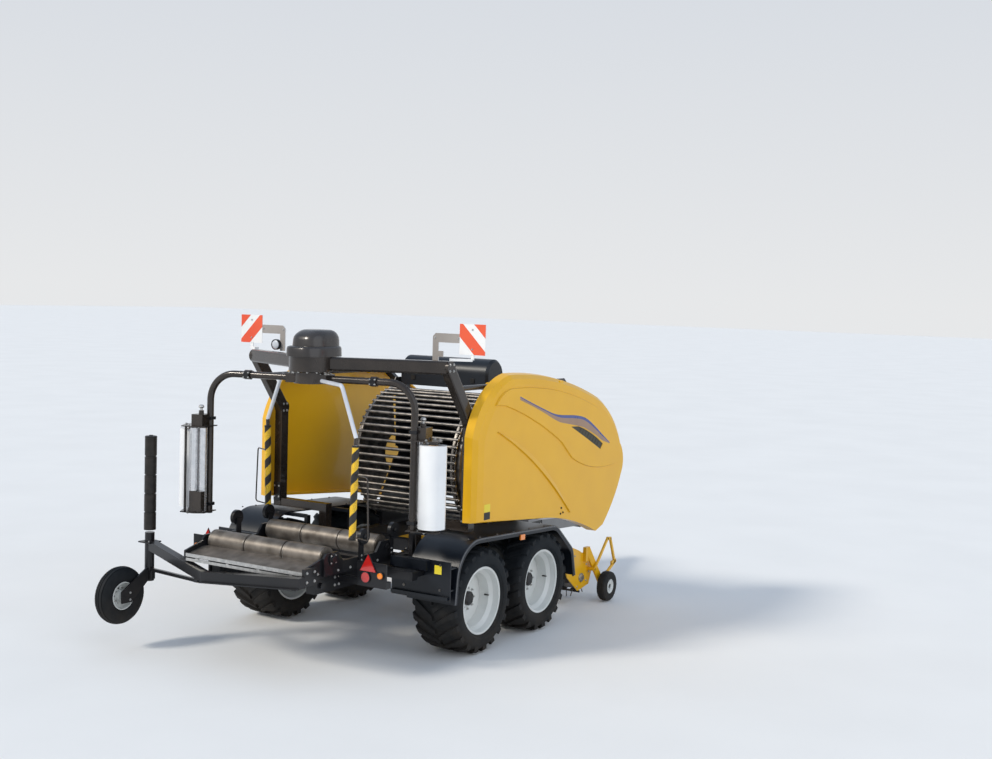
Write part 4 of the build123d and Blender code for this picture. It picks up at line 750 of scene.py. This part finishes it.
def make_arm():
    """What the arm carries besides its tubes and plates."""
    for side_name, side in SIDES.items():
        place = ARM_FRAME @ Matrix.Rotation(radians(90 - 90 * side), 4, "Z")
        rollers = Batch()
        for x, y, low in STRETCH_ROLLERS:
            bright = [(low, 0.0386), (UPPER_PLATE - 0.012, 0.0386)]
            rollers.lathe(bright, place @ at(x, y, 0), 32)
        rollers.finish(f"stretch_rollers_{side_name}", "wrap_arm", "steel", ALLOY)
        fasteners = Batch()
        for out, plate_z in ((1, UPPER_PLATE), (-1, LOWER_PLATE)):
            seats = [(x, y, plate_z + out * 0.005) for x, y in PLATE_BOLTS]
            fasteners.bolts(moved(place, seats), (0, 0, out), 0.011)
        outward = place.to_3x3() @ Vector((1, 0, 0))
        for out in (1, -1):
            seats = spread((out * 0.046, CLAMP_Y, ARM_TOP), y=(-0.024, 0.024), z=(-0.022, 0.022))
            fasteners.bolts(moved(place, seats), out * outward, 0.008)
        seats = spread((0, 0.1575, ARM_TOP + 0.042), x=(0.055, -0.055), y=(-0.0275, 0.0275))
        fasteners.bolts(moved(place, seats), (0, 0, 1), 0.011)
        fasteners.finish(f"arm_bolts_{side_name}", "wrap_arm", "steel", ZINC)
        knob = Batch()
        knob.lathe(KNOB, at(*(place @ Vector((-0.080, 1.120, UPPER_PLATE + 0.150)))), 24)
        for z in (1.300, 1.385):
            knob.lathe([(-0.003, 0.0395), (0.003, 0.0395)], place @ at(*BRAKE_ROLLER, z), 32)
        knob.finish(f"brake_knob_{side_name}", "wrap_arm", "steel", ZINC)
        clamp = Batch()
        for x in (-0.0468, 0.0468):
            clamp.box((x, CLAMP_Y, ARM_TOP), (0.012, 0.056, 0.070), place)
        for z in (2.125, 1.300):
            clamp.box((0, LEG_Y, z), (0.080, 0.076, 0.030), place)
        clamp.finish(f"tube_clamps_{side_name}", "wrap_arm", "black_paint", BLACK, edge=0.002)
        rod = Batch()
        rod.tube(moved(place, bent(ROD_LINE, (0.055,), 10) + [SLEEVE_TOP]), 0.0188, 20)
        rod.finish(f"pale_rod_{side_name}", "wrap_arm", "steel", PALE_ROD)
        make_sleeve(place, f"sleeve_yellow_{side_name}", 0, SLEEVE)
        make_sleeve(place, f"sleeve_black_{side_name}", SLEEVE_SIDES // 2, INK)
        ends = Batch()
        run = (SLEEVE_FOOT - SLEEVE_TOP).normalized()
        for point, shift in ((SLEEVE_TOP, -0.006), (SLEEVE_FOOT, -0.010)):
            ends.lathe([(0, 0.033), (0.016, 0.033)], place @ aim(point + run * shift, run), 24)
        ends.finish(f"sleeve_ends_{side_name}", "wrap_arm", "rubber", RUBBER)
        make_film(side_name, place @ Vector((0, FILM_Y, 0)))


make_arm()


# Hub hood
# Columns of the hood: height over its foot, length, width, shift forward
HOOD = [
    (0.000, 0.529, 0.399, 0.050), (0.072, 0.524, 0.394, 0.050), (0.088, 0.510, 0.383, 0.052),
    (0.094, 0.470, 0.365, 0.062), (0.096, 0.436, 0.350, 0.074), (0.150, 0.430, 0.342, 0.076),
    (0.180, 0.416, 0.332, 0.078), (0.202, 0.384, 0.312, 0.082), (0.220, 0.344, 0.288, 0.088),
    (0.234, 0.300, 0.258, 0.092), (0.243, 0.250, 0.220, 0.094), (0.246, 0.200, 0.180, 0.095),
]
HOOD_FOOT = 2.764
HOOD_SIDES = 72


def make_hood():
    """The moulded hood over the hub's drive, its tiers run into each other."""
    points = []
    for height, length, width, shift in HOOD:
        for a, b in circle(1, HOOD_SIDES):
            squared = (abs(a) ** 3 + abs(b) ** 3) ** (-1 / 3)
            x = ARM_X + shift + a * squared * length / 2
            points.append((x, b * squared * width / 2, HOOD_FOOT + height))
    hood = Batch()
    hood.add(points, skin(len(HOOD), HOOD_SIDES, ends=True))
    piece = hood.finish("hub_hood", "chassis", "black_plastic", COVER, smooth=50)
    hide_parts("hub_cover")


make_hood()


# Arm support
SUPPORT_Y = 1.160
SUPPORT_HALF = 0.0455
SUPPORT_CORNER = (-1.630, 2.700)
SUPPORT_FOOT = (-1.230, 0.560)
HUB_BOLT_RADIUS = 0.170


def make_support_trim():
    """Plates and bolts of the arm support, and the bolts round its hub."""
    plates = Batch()
    bolts = Batch()
    corner_x, corner_z = SUPPORT_CORNER
    foot_x, foot_y = SUPPORT_FOOT
    for side in SIDES.values():
        y = side * SUPPORT_Y
        for out in (-1, 1):
            face = y + out * SUPPORT_HALF
            seats = spread((corner_x, face, corner_z), x=(-0.03, 0.03), z=(-0.03, 0.03))
            seats += spread((foot_x, face, 2.160), x=(-0.025, 0.025), z=(-0.035, 0.035))
            bolts.bolts(seats, (0, out, 0), 0.010)
        seats = spread((-1.2805, y, 1.290), y=(-0.028, 0.028), z=(-0.055, 0.055))
        bolts.bolts(seats, (-1, 0, 0), 0.011)
        plates.box((-1.283, y, 1.290), (0.012, 0.086, 0.190))
        plates.box((foot_x, side * foot_y, 0.888), (0.150, 0.150, 0.016))
        seats = spread((foot_x, side * foot_y, 0.896), x=(-0.058, 0.058), y=(-0.058, 0.058))
        bolts.bolts(seats, (0, 0, 1), 0.010)
    plates.finish("support_plates", "chassis", "black_paint", BLACK, edge=0.002)
    for a, b in circle(1, 10):
        place = (ARM_X + 0.050 + 0.245 * a, 0.182 * b, HOOD_FOOT)
        if hypot(place[0] - ARM_X, place[1]) < 0.194:
            bolts.bolt(place, (0, 0, 1), 0.007)
    seats = [(ARM_X + a, b, 2.6250) for a, b in circle(HUB_BOLT_RADIUS, 12)]
    bolts.bolts(seats, (0, 0, -1), 0.010)
    bolts.finish("support_bolts", "chassis", "steel", ZINC)


make_support_trim()


# Tailgate chains, slat ends and chamber bearings
LINKS = 56
SLATS = 22
FRONT_ROLLERS = 12
HOUSING = [
    (0, 0.046), (0.012, 0.046), (0.015, 0.030), (0.026, 0.027), (0.026, 0.012), (0.034, 0.011)
]


def round_chamber(radius, degrees, y):
    """A shift to a place at a radius from the chamber's axis."""
    angle = radians(degrees)
    return at(CHAMBER.x + radius * cos(angle), y, CHAMBER.z + radius * sin(angle))


def make_chamber_parts():
    """Roller chains beside the slats, the slats' ends, and the front rollers' bearings."""
    links = Batch()
    pins = Batch()
    ends = Batch()
    bearings = Batch()
    for side in SIDES.values():
        out = along((0, side, 0))
        for index in range(LINKS):
            degrees = 99 + 136 * (index + 0.5) / LINKS
            tilt = Matrix.Rotation(-radians(degrees), 4, "Y")
            seat = round_chamber(0.709, degrees, side * 0.6035) @ tilt
            reach, shift = (0.0345, 0.0022) if index % 2 else (0.0300, 0.0055)
            links.box((0, side * shift, 0), (0.020, 0.0025, reach), seat)
            pins.lathe([(-0.002, 0.0062), (0.0085, 0.0062)], seat @ at(0, 0, 0.015) @ out, 8)
        for index in range(SLATS):
            seat = round_chamber(0.710, 100 + 134 * index / (SLATS - 1), side * 0.631)
            ends.lathe([(0, 0.013), (0.005, 0.013), (0.007, 0.008)], seat @ out, 12)
        for index in range(FRONT_ROLLERS):
            degrees = -60 + 148 * index / (FRONT_ROLLERS - 1)
            seat = round_chamber(0.665, degrees, side * 0.6268) @ out
            bearings.lathe(HOUSING, seat, 28)
            for a, b in circle(0.038, 3, 30):
                bearings.lathe([(0.011, 0.006), (0.018, 0.006)], seat @ at(a, b, 0), 6)
    links.finish("gate_chains", "tailgate", "steel", STEEL)
    pins.finish("gate_chain_pins", "tailgate", "steel", ZINC)
    ends.finish("slat_ends", "tailgate", "steel", ZINC)
    bearings.finish("roller_bearings", "chassis", "black_paint", BLACK)


make_chamber_parts()


# Table: bearings, worn tray, bright lip and bolts
REAR_BEARING = [(0, 0.055), (0.011, 0.055), (0.013, 0.034), (0.028, 0.030)]
FRONT_BEARING = [(0, 0.027), (0.012, 0.027), (0.014, 0.020)]
GUIDE_PIVOT = [(0, 0.022), (0.010, 0.022), (0.012, 0.014)]
GUIDES_X = (-1.860, -2.310)
# Rows of bolts along each side: distance from the middle, size, places along the table
SIDE_BOLTS = [
    (0.727, 0.010, (-2.62, -2.45, -2.20, -2.05)),
    (0.703, 0.009, (-2.99, -2.93, -2.87)),
]
SIDE_BOLTS_Z = 0.930
TRAY_TOP = (-2.810, 0, 1.0042)
TRAY_RUN = 0.240
TRAY_DROP = 0.050
LIP_TABS_Y = (-0.55, -0.18, 0.18, 0.55)
SEAM = [(-0.003, 0.097), (-0.003, 0.0992), (0.003, 0.0992), (0.003, 0.097)]
SEAMS_Y = (-0.645, -0.238, -0.206, 0.206, 0.238, 0.645)


def make_table_parts():
    """Bearings, bolts, tray and lip of the table, and the seams of its rollers."""
    fasteners = Batch()
    housings = Batch()
    for side in SIDES.values():
        out = (0, side, 0)
        for roller_x in TABLE_ROLLERS:
            seat = about_y(roller_x, side * 0.7268, TABLE_ROLLER_Z, side)
            if roller_x < TABLE_X:
                housings.lathe(REAR_BEARING, seat, 32)
                ring = circle(0.044, 4, 45)
                places = [(roller_x + a, side * 0.738, TABLE_ROLLER_Z + b) for a, b in ring]
                fasteners.bolts(places, out, 0.007)
            else:
                housings.lathe(FRONT_BEARING, seat, 24)
        for y, size, row in SIDE_BOLTS:
            fasteners.bolts([(x, side * y, SIDE_BOLTS_Z) for x in row], out, size)
        for guide_x in GUIDES_X:
            housings.lathe(GUIDE_PIVOT, about_y(guide_x, side * 0.777, 1.190, side), 20)
            fasteners.bolts(spread((guide_x, side * 0.743, 0.995), z=(0.020, -0.020)), out, 0.008)
    housings.finish("table_bearings", "table", "black_paint", BLACK)
    fasteners.finish("table_bolts", "table", "steel", ZINC)
    run = hypot(TRAY_DROP, TRAY_RUN)
    tray = Batch()
    seat = at(*TRAY_TOP) @ Matrix.Rotation(-atan2(TRAY_DROP, TRAY_RUN), 4, "Y")
    tray.box((-run / 2, 0, 0.0006), (run, TRAY_WIDTH, 0.0012), seat)
    tray.finish("tray_wear_plate", "table", "steel", WORN)
    lip = Batch()
    lip.box((-3.0546, 0, 0.952), (0.0012, TRAY_WIDTH, 0.030))
    lip.box((-3.050, 0, 0.9673), (0.0096, TRAY_WIDTH, 0.0012))
    lip.box((-3.0500, 0, 0.9120), (0.0100, 1.360, 0.0260))
    for y in LIP_TABS_Y:
        lip.box((-3.0490, y, 0.9290), (0.0080, 0.030, 0.0200))
    lip.finish("tray_lip", "table", "steel", ZINC)
    for name, roller_x in zip(("front", "rear"), TABLE_ROLLERS):
        seams = Batch()
        for y in SEAMS_Y:
            seams.lathe(SEAM, about_y(roller_x, y, TABLE_ROLLER_Z), 64, True)
        seams.finish(f"roller_seams_{name}", f"table_roller_{name}", "steel", STEEL)


make_table_parts()


# Turner's wheel and gauge wheels: flanks as pairs of distance from the middle and radius
SMALL_FLANK = [
    (0.050, 0.1302), (0.060, 0.140), (0.0645, 0.165), (0.065, 0.195), (0.062, 0.225),
    (0.053, 0.248), (0.047, 0.2560), (0.045, 0.2520), (0.040, 0.2520), (0.038, 0.2620),
    (0.016, 0.2680), (0.014, 0.2610), (0.008, 0.2610), (0.006, 0.2695),
]
GAUGE_FLANK = [
    (0.030, 0.0830), (0.044, 0.086), (0.049, 0.100), (0.050, 0.120), (0.047, 0.140),
    (0.036, 0.155), (0.018, 0.1630), (0.016, 0.1590), (0.010, 0.1590), (0.008, 0.1648),
]
GAUGE_DISH = [
    (0.024, 0.030), (0.040, 0.030), (0.040, 0.040), (0.030, 0.046), (0.028, 0.066),
    (0.043, 0.078), (0.0455, 0.086), (0.0415, 0.087), (0.024, 0.074),
]
TURNER_BOLTS = [(-2.872, 0.660), (-2.828, 0.660), (-3.110, 0.520), (-3.110, 0.455)]
ROLLER_CAP = [(-0.012, 0.0565), (0.004, 0.0565), (0.008, 0.050), (0.008, 0.020), (0.016, 0.018)]


def make_small_wheels():
    """The turner's support wheel and the pickup's gauge wheels."""
    tyre = Batch()
    tyre.lathe(both_flanks(SMALL_FLANK), about_y(*TURNER_WHEEL), 72, True)
    piece = tyre.finish("ribbed_turner_tyre", "turner_wheel", "tyre", TYRE)
    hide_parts("turner_tyre")
    nuts = Batch()
    for side in (-1, 1):
        hub = about_y(*TURNER_WHEEL, side)
        for a, b in circle(0.072, 5):
            nuts.lathe([(-0.010, 0.009), (0.016, 0.009)], hub @ at(a, b, 0), 6)
    nuts.finish("turner_wheel_nuts", "turner_wheel", "steel", ZINC)
    for side_name, side in SIDES.items():
        centre = (GAUGE.x, side * GAUGE.y, GAUGE.z)
        tyre = Batch()
        tyre.lathe(both_flanks(GAUGE_FLANK), about_y(*centre), 64, True)
        tyre.finish(f"gauge_tread_{side_name}", f"gauge_{side_name}", "tyre", TYRE)
        rim = Batch()
        for out in (-1, 1):
            hub = about_y(*centre, out)
            rim.lathe(GAUGE_DISH, hub, 48, True)
            for a, b in circle(0.050, 5):
                rim.lathe([(0.026, 0.007), (0.036, 0.007)], hub @ at(a, b, 0), 6)
        rim.finish(f"gauge_rim_{side_name}", f"gauge_{side_name}", "rim_paint", RIM)


def make_turner_trim():
    """Bolts of the turner's beam and post, and the cap of its roller."""
    bolts = Batch()
    bolts.bolts([(x, 1.327, z) for x, z in TURNER_BOLTS], (0, -1, 0), 0.009)
    for angle in (40, 140, 220, 320):
        a, b = circle(0.058, 1, angle)[0]
        bolts.bolt(TURNER_POST + Vector((a, b, 0.966)), (0, 0, 1), 0.008)
    flange = (-3.000, -0.733, SIDE_BOLTS_Z)
    bolts.bolts(spread(flange, x=(-0.05, 0.05), z=(-0.04, 0.04)), (0, -1, 0), 0.010)
    bolts.finish("turner_bolts", "table", "steel", ZINC)
    cap = Batch()
    cap.lathe(ROLLER_CAP, at(TURNER_POST.x, TURNER_POST.y, 1.9550), 32)
    cap.finish("turner_roller_cap", "turner_roller", "rubber", RUBBER)


make_small_wheels()
make_turner_trim()


# Pickup: strips between the tines, and the struts of the gauge wheels
REEL = Vector((1.180, 0, 0.290))
PICKUP_HALF = 1.100
PICKUP_SIDE = 1.112
STRIPS = 17
# The pickup's width without its edge and the reel's gap on either side, shared out
STRIP_PITCH = 2 * (PICKUP_HALF - 0.020 - 0.014) / STRIPS
STRIP_WIDTH = 0.078
STRIP_SHEET = 0.004
# A strip's line as pairs of radius and angle about the reel
STRIP_ARC = [
    (0.150, 200), (0.168, 176),
    *((0.172, angle) for angle in range(150, -31, -30)),
    (0.170, -60), (0.166, -90),
]
PICKUP_BOLTS = [
    (0.78, 0.60), (0.86, 0.64), (1.03, 0.55), (1.30, 0.42), (1.36, 0.33), (1.30, 0.24),
    (1.10, 0.20),
]
REEL_BEARING = [(0, 0.050), (0.012, 0.050), (0.014, 0.032), (0.030, 0.028)]
# Struts that carry a gauge wheel, beside the pickup: pairs of x and z, then width
GAUGE_STRUTS = [
    ((1.320, 0.352), (1.640, 0.682), 0.030),
    ((1.620, 0.672), (1.712, 0.664), 0.034),
    ((1.696, 0.672), (1.826, 0.372), 0.032),
    ((1.850, 0.392), (1.742, 0.372), 0.042),
    ((1.826, 0.380), (1.500, 0.214), 0.030),
]
STRUT_Y = 1.199
STRUT_THICKNESS = 0.022


def strip_line(sheet):
    """Pairs along a strip, at a depth in its sheet."""
    arc = [(radius - sheet, radians(angle)) for radius, angle in STRIP_ARC]
    return [(REEL.x + radius * cos(angle), REEL.z + radius * sin(angle)) for radius, angle in arc]


def make_pickup():
    """Strips, rails, struts and bolts of the pickup."""
    strips = Batch()
    for index in range(STRIPS):
        y = (index - STRIPS // 2) * STRIP_PITCH - STRIP_WIDTH / 2
        strips.ribbon(strip_line(0), strip_line(STRIP_SHEET), STRIP_WIDTH, upright(y, 1))
    strips.finish("pickup_strips", "pickup", "black_paint", BLACK)
    rail = Batch()
    for x, z, radius in ((1.035, 0.340, 0.016), (REEL.x, 0.130, 0.012)):
        rail.rod((x, -PICKUP_HALF, z), (x, PICKUP_HALF, z), radius)
    rail.finish("strip_rails", "pickup", "black_paint", BLACK)
    for side_name, side in SIDES.items():
        struts = Batch()
        for first, last, width in GAUGE_STRUTS:
            a, b = Vector(first), Vector(last)
            across = (b - a).orthogonal().normalized() * width / 2
            outline = [a - across, b - across, b + across, a + across]
            struts.prism(outline, STRUT_THICKNESS, upright(STRUT_Y - STRUT_THICKNESS / 2, side))
        struts.rod((1.335, side * 1.105, 0.368), (1.335, side * 1.210, 0.368), 0.020, 20)
        struts.finish(f"gauge_struts_{side_name}", "pickup", "yellow", YELLOW, edge=0.002)
    bolts = Batch()
    for side in SIDES.values():
        bolts.bolts([(x, side * PICKUP_SIDE, z) for x, z in PICKUP_BOLTS], (0, side, 0), 0.009)
        bolts.lathe(REEL_BEARING, about_y(REEL.x, side * PICKUP_SIDE, REEL.z, side), 28)
    bolts.finish("pickup_bolts", "pickup", "steel", ZINC)


make_pickup()


# Mudguards, rear plates and lamps
GUARD_LINE = [(-1.776, 0.560), (-1.716, 1.123), (0.060, 1.044), (0.424, 0.752), (0.488, 0.469)]
GUARD_BENDS = (0.360, 0.240, 0.160)
GUARD_EDGE = 1.4085
GUARD_BOLTS_X = (-1.55, -1.35, -1.05, -0.75, -0.45, -0.15)
REAR_BOLTS = [(1.30, 0.70), (0.90, 0.70), (1.30, 0.93)]
REFLECTOR = [(-0.665, 1.004), (-0.585, 1.000), (-0.583, 1.052), (-0.663, 1.056)]
AMBER_LENS = [(0, 0.027), (0.010, 0.026), (0.013, 0.020)]
TRIANGLE = [(0.858, 0.920), (1.054, 0.920), (0.956, 1.090)]
# Round rear lamps: distance from the middle, height and radius
ROUND_LAMPS = [(0.930, 0.872, 0.044), (1.094, 0.905, 0.026)]
WORK_LAMP_RIM = [(0, 0.047), (0, 0.053), (-0.034, 0.053), (-0.034, 0.045)]
WORK_LAMP_LENS = [(0.030, 0.044), (0.033, 0.040), (0.036, 0.020), (0.037, 0.004)]


def make_guard_beads():
    """The rolled edge of each mudguard, in a paler grey that is a painted reflection of the sky."""
    for side_name, side in SIDES.items():
        bead = Batch()
        line = bent([(x, side * GUARD_EDGE, z + 0.002) for x, z in GUARD_LINE], GUARD_BENDS, 14)
        bead.tube(line, 0.0085, 12)
        bead.finish(f"guard_bead_painted_reflection_{side_name}", "chassis", "black_plastic", BEAD_PAINTED_REFLECTION)


make_guard_beads()


def make_guard_trim():
    """Reflectors, labels and bolts of the mudguards, and the rims and lenses of the lamps."""
    bolts = Batch()
    labels = Batch()
    amber = Batch()
    rims = Batch()
    (start_x, start_z), (end_x, end_z) = GUARD_LINE[1:3]
    slope = (end_z - start_z) / (end_x - start_x)
    for side in SIDES.values():
        amber.prism(REFLECTOR, 0.012, upright(1.410, side))
        amber.lathe(AMBER_LENS, aim((-2.4960, side * 1.094, 0.905), (-1, 0, 0)), 28)
        bolts.bolts([(-1.8685, side * y, z) for y, z in REAR_BOLTS], (-1, 0, 0), 0.010)
        labels.box((-1.8688, side * 1.275, 0.884), (0.0014, 0.076, 0.080))
        for x in GUARD_BOLTS_X:
            top = start_z + (x - start_x) * slope + 0.014
            bolts.bolts([(x, side * y, top) for y in (1.385, 0.905)], (0, 0, 1), 0.008)
        for y, z, radius in ROUND_LAMPS:
            ring = [(0, radius + 0.006), (0.012, radius + 0.006), (0.014, radius), (0, radius)]
            rims.lathe(ring, aim((LAMP_FACE, side * y, z), (-1, 0, 0)), 32, True)
        rims.prism(TRIANGLE, 0.006, crosswise(LAMP_FACE, -1, side))
    rims.lathe(WORK_LAMP_RIM, aim(WORK_LAMP, (1, 0, 0)), 32, True)
    bolts.finish("guard_bolts", "chassis", "steel", STEEL)
    labels.finish("guard_labels", "chassis", "sign", LABEL)
    amber.finish("amber_lenses", "chassis", "lamp", LENS_AMBER)
    rims.finish("lamp_rims", "chassis", "black_plastic", PLASTIC)
    lens = Batch()
    lens.lathe(WORK_LAMP_LENS, aim(WORK_LAMP, (-1, 0, 0)), 32)
    lens.finish("work_lamp_lens", "chassis", "lamp", PALE_ROD)


make_guard_trim()


# Chassis, drawbar and bogies: bolts, drive guard, jack and net box fittings
CROSS_MEMBERS_X = (-2.49, -1.50, -0.695, 0.50, 1.10)
BOGIE_PIVOT = (-0.695, 0.890, 0.640)
PIVOT_CAP = [(0, 0.075), (0.010, 0.075), (0.014, 0.060), (0.022, 0.030)]
DRIVE_GUARD = [(0, 0.078), (0.110, 0.086), (0.110, 0.082), (0.004, 0.074)]
CRANK_GRIP = [(0, 0.014), (0.045, 0.016), (0.070, 0.012)]
CRANK_REACH = 0.150
LATCHES_Y = (-0.38, 0.38)


def make_chassis_trim():
    """Fasteners where the frame's members meet, and the fittings of drive, jack and net box."""
    bolts = Batch()
    pivot_x, pivot_y, pivot_z = BOGIE_PIVOT
    for side in SIDES.values():
        for x in CROSS_MEMBERS_X:
            seats = spread((x, side * 0.610, 0.800), x=(-0.028, 0.028), z=(-0.035, 0.035))
            bolts.bolts(seats, (0, side, 0), 0.010)
        for axle_x in AXLES_X.values():
            seats = spread((axle_x + 0.07, side * 0.790, 0.495), z=(0.035, -0.035))
            bolts.bolts(seats, (0, -side, 0), 0.008)
        bolts.lathe(PIVOT_CAP, about_y(pivot_x, side * pivot_y, pivot_z, side), 36)
    seats = spread((3.1505, 0, 0.580), y=(-0.09, 0.09), z=(-0.055, 0.055))
    bolts.bolts(seats, (1, 0, 0), 0.012)
    seats = [(PTO.x + 0.0005, a, PTO.z + b) for a, b in circle(0.04725, 4, 45)]
    bolts.bolts(seats, (1, 0, 0), 0.006)
    seats = spread((1.5505, 0, PTO.z), y=(-0.115, 0.115), z=(-0.105, 0.105))
    bolts.bolts(seats, (1, 0, 0), 0.009)
    bolts.finish("chassis_bolts", "chassis", "steel", ZINC)
    guard = Batch()
    guard.lathe(DRIVE_GUARD, aim(PTO, (1, 0, 0)), 36, True)
    guard.finish("drive_guard", "chassis", "black_plastic", PLASTIC)
    pins = Batch()
    x, y = JACK
    for out in (-1, 1):
        near, far = out * 0.0440, out * 0.060
        pins.rod((x + near, y, 0.460), (x + far, y, 0.460), 0.009)
        pins.rod((x, y + near, 0.900), (x, y + far, 0.900), 0.008)
    pins.lathe(CRANK_GRIP, at(x, y + CRANK_REACH, 1.120), 20)
    pins.finish("jack_fittings", "chassis", "steel", ZINC)
    latches = Batch()
    for y in LATCHES_Y:
        latches.box((0.3345, y, 2.500), (0.010, 0.034, 0.110))
        latches.box((0.342, y, 2.462), (0.016, 0.050, 0.020))
        latches.box((-0.0045, y, 2.470), (0.010, 0.050, 0.050))
    latches.finish("net_box_latches", "chassis", "rubber", RUBBER, edge=0.002)


make_chassis_trim()


# Floor, sky, lamps and camera
FLOOR_COLOUR = (0.80, 0.80, 0.79)
FLOOR_REACH = 150.0
MIDDLE = (0, 0, 1.2)
# Lamps: place, strength, spread in degrees and colour
SUNS = [
    ((-9, 6, 9), 2.2, 12, (1.0, 0.94, 0.84)),
    ((-3, -12, 7), 0.75, 70, (0.93, 0.96, 1.0)),
]


def make_floor():
    """A wide pale floor with a faint tone change."""
    mesh = bpy.data.meshes.new("floor")
    reach = FLOOR_REACH
    corners = [(-reach, -reach, 0), (reach, -reach, 0), (reach, reach, 0), (-reach, reach, 0)]
    mesh.from_pydata(corners, [], [(0, 1, 2, 3)])
    floor = bpy.data.objects.new("floor", mesh)
    bpy.context.scene.collection.objects.link(floor)
    material, shader = node_material("floor")
    tone = speckle(material, 0.6)
    low = tuple(c * 0.97 for c in FLOOR_COLOUR)
    colour = mix_colours(material, tone.outputs["Fac"], low, FLOOR_COLOUR)
    material.node_tree.links.new(colour, shader.inputs["Base Color"])
    shader.inputs["Roughness"].default_value = 0.9
    mesh.materials.append(material)


def make_world():
    """A soft sky, brighter near the horizon."""
    world = bpy.data.worlds.new("studio")
    bpy.context.scene.world = world
    world.use_nodes = True
    nodes = world.node_tree.nodes
    links = world.node_tree.links
    nodes.clear()
    out = nodes.new("ShaderNodeOutputWorld")
    sky = nodes.new("ShaderNodeBackground")
    place = nodes.new("ShaderNodeTexCoord")
    split = nodes.new("ShaderNodeSeparateXYZ")
    ramp = nodes.new("ShaderNodeValToRGB")
    ramp.color_ramp.elements[0].position = 0.0
    ramp.color_ramp.elements[0].color = (0.84, 0.85, 0.86, 1)
    ramp.color_ramp.elements[1].position = 0.8
    ramp.color_ramp.elements[1].color = (0.42, 0.52, 0.68, 1)
    links.new(place.outputs["Generated"], split.inputs["Vector"])
    links.new(split.outputs["Z"], ramp.inputs["Fac"])
    links.new(ramp.outputs["Color"], sky.inputs["Color"])
    sky.inputs["Strength"].default_value = 0.95
    links.new(sky.outputs["Background"], out.inputs["Surface"])


def make_sun(place, strength, width, colour):
    """A distant soft lamp that shines from a place towards the machine's middle."""
    lamp = bpy.data.lights.new("sun", "SUN")
    lamp.energy = strength
    lamp.angle = radians(width)
    lamp.color = colour
    holder = bpy.data.objects.new("sun", lamp)
    holder.rotation_euler = (Vector(MIDDLE) - Vector(place)).to_track_quat("-Z", "Y").to_euler()
    bpy.context.scene.collection.objects.link(holder)


def make_camera():
    """The photograph's viewpoint, with its slight roll."""
    ahead = Vector((
        cos(CAMERA_PITCH) * cos(CAMERA_YAW),
        cos(CAMERA_PITCH) * sin(CAMERA_YAW),
        sin(CAMERA_PITCH),
    ))
    right = ahead.cross(Vector((0, 0, 1))).normalized()
    up = right.cross(ahead)
    tilted_right = cos(CAMERA_ROLL) * right + sin(CAMERA_ROLL) * up
    tilted_up = cos(CAMERA_ROLL) * up - sin(CAMERA_ROLL) * right
    turn = Matrix((tilted_right, tilted_up, -ahead)).transposed()
    lens = bpy.data.cameras.new("camera")
    lens.sensor_width = SENSOR_WIDTH
    lens.lens = CAMERA_LENS
    lens.clip_end = 400
    camera = bpy.data.objects.new("camera", lens)
    camera.matrix_world = Matrix.Translation(CAMERA_PLACE) @ turn.to_4x4()
    bpy.context.scene.collection.objects.link(camera)
    bpy.context.scene.camera = camera


make_floor()
make_world()
for sun in SUNS:
    make_sun(*sun)
make_camera()
bpy.context.scene.view_settings.view_transform = "Standard"
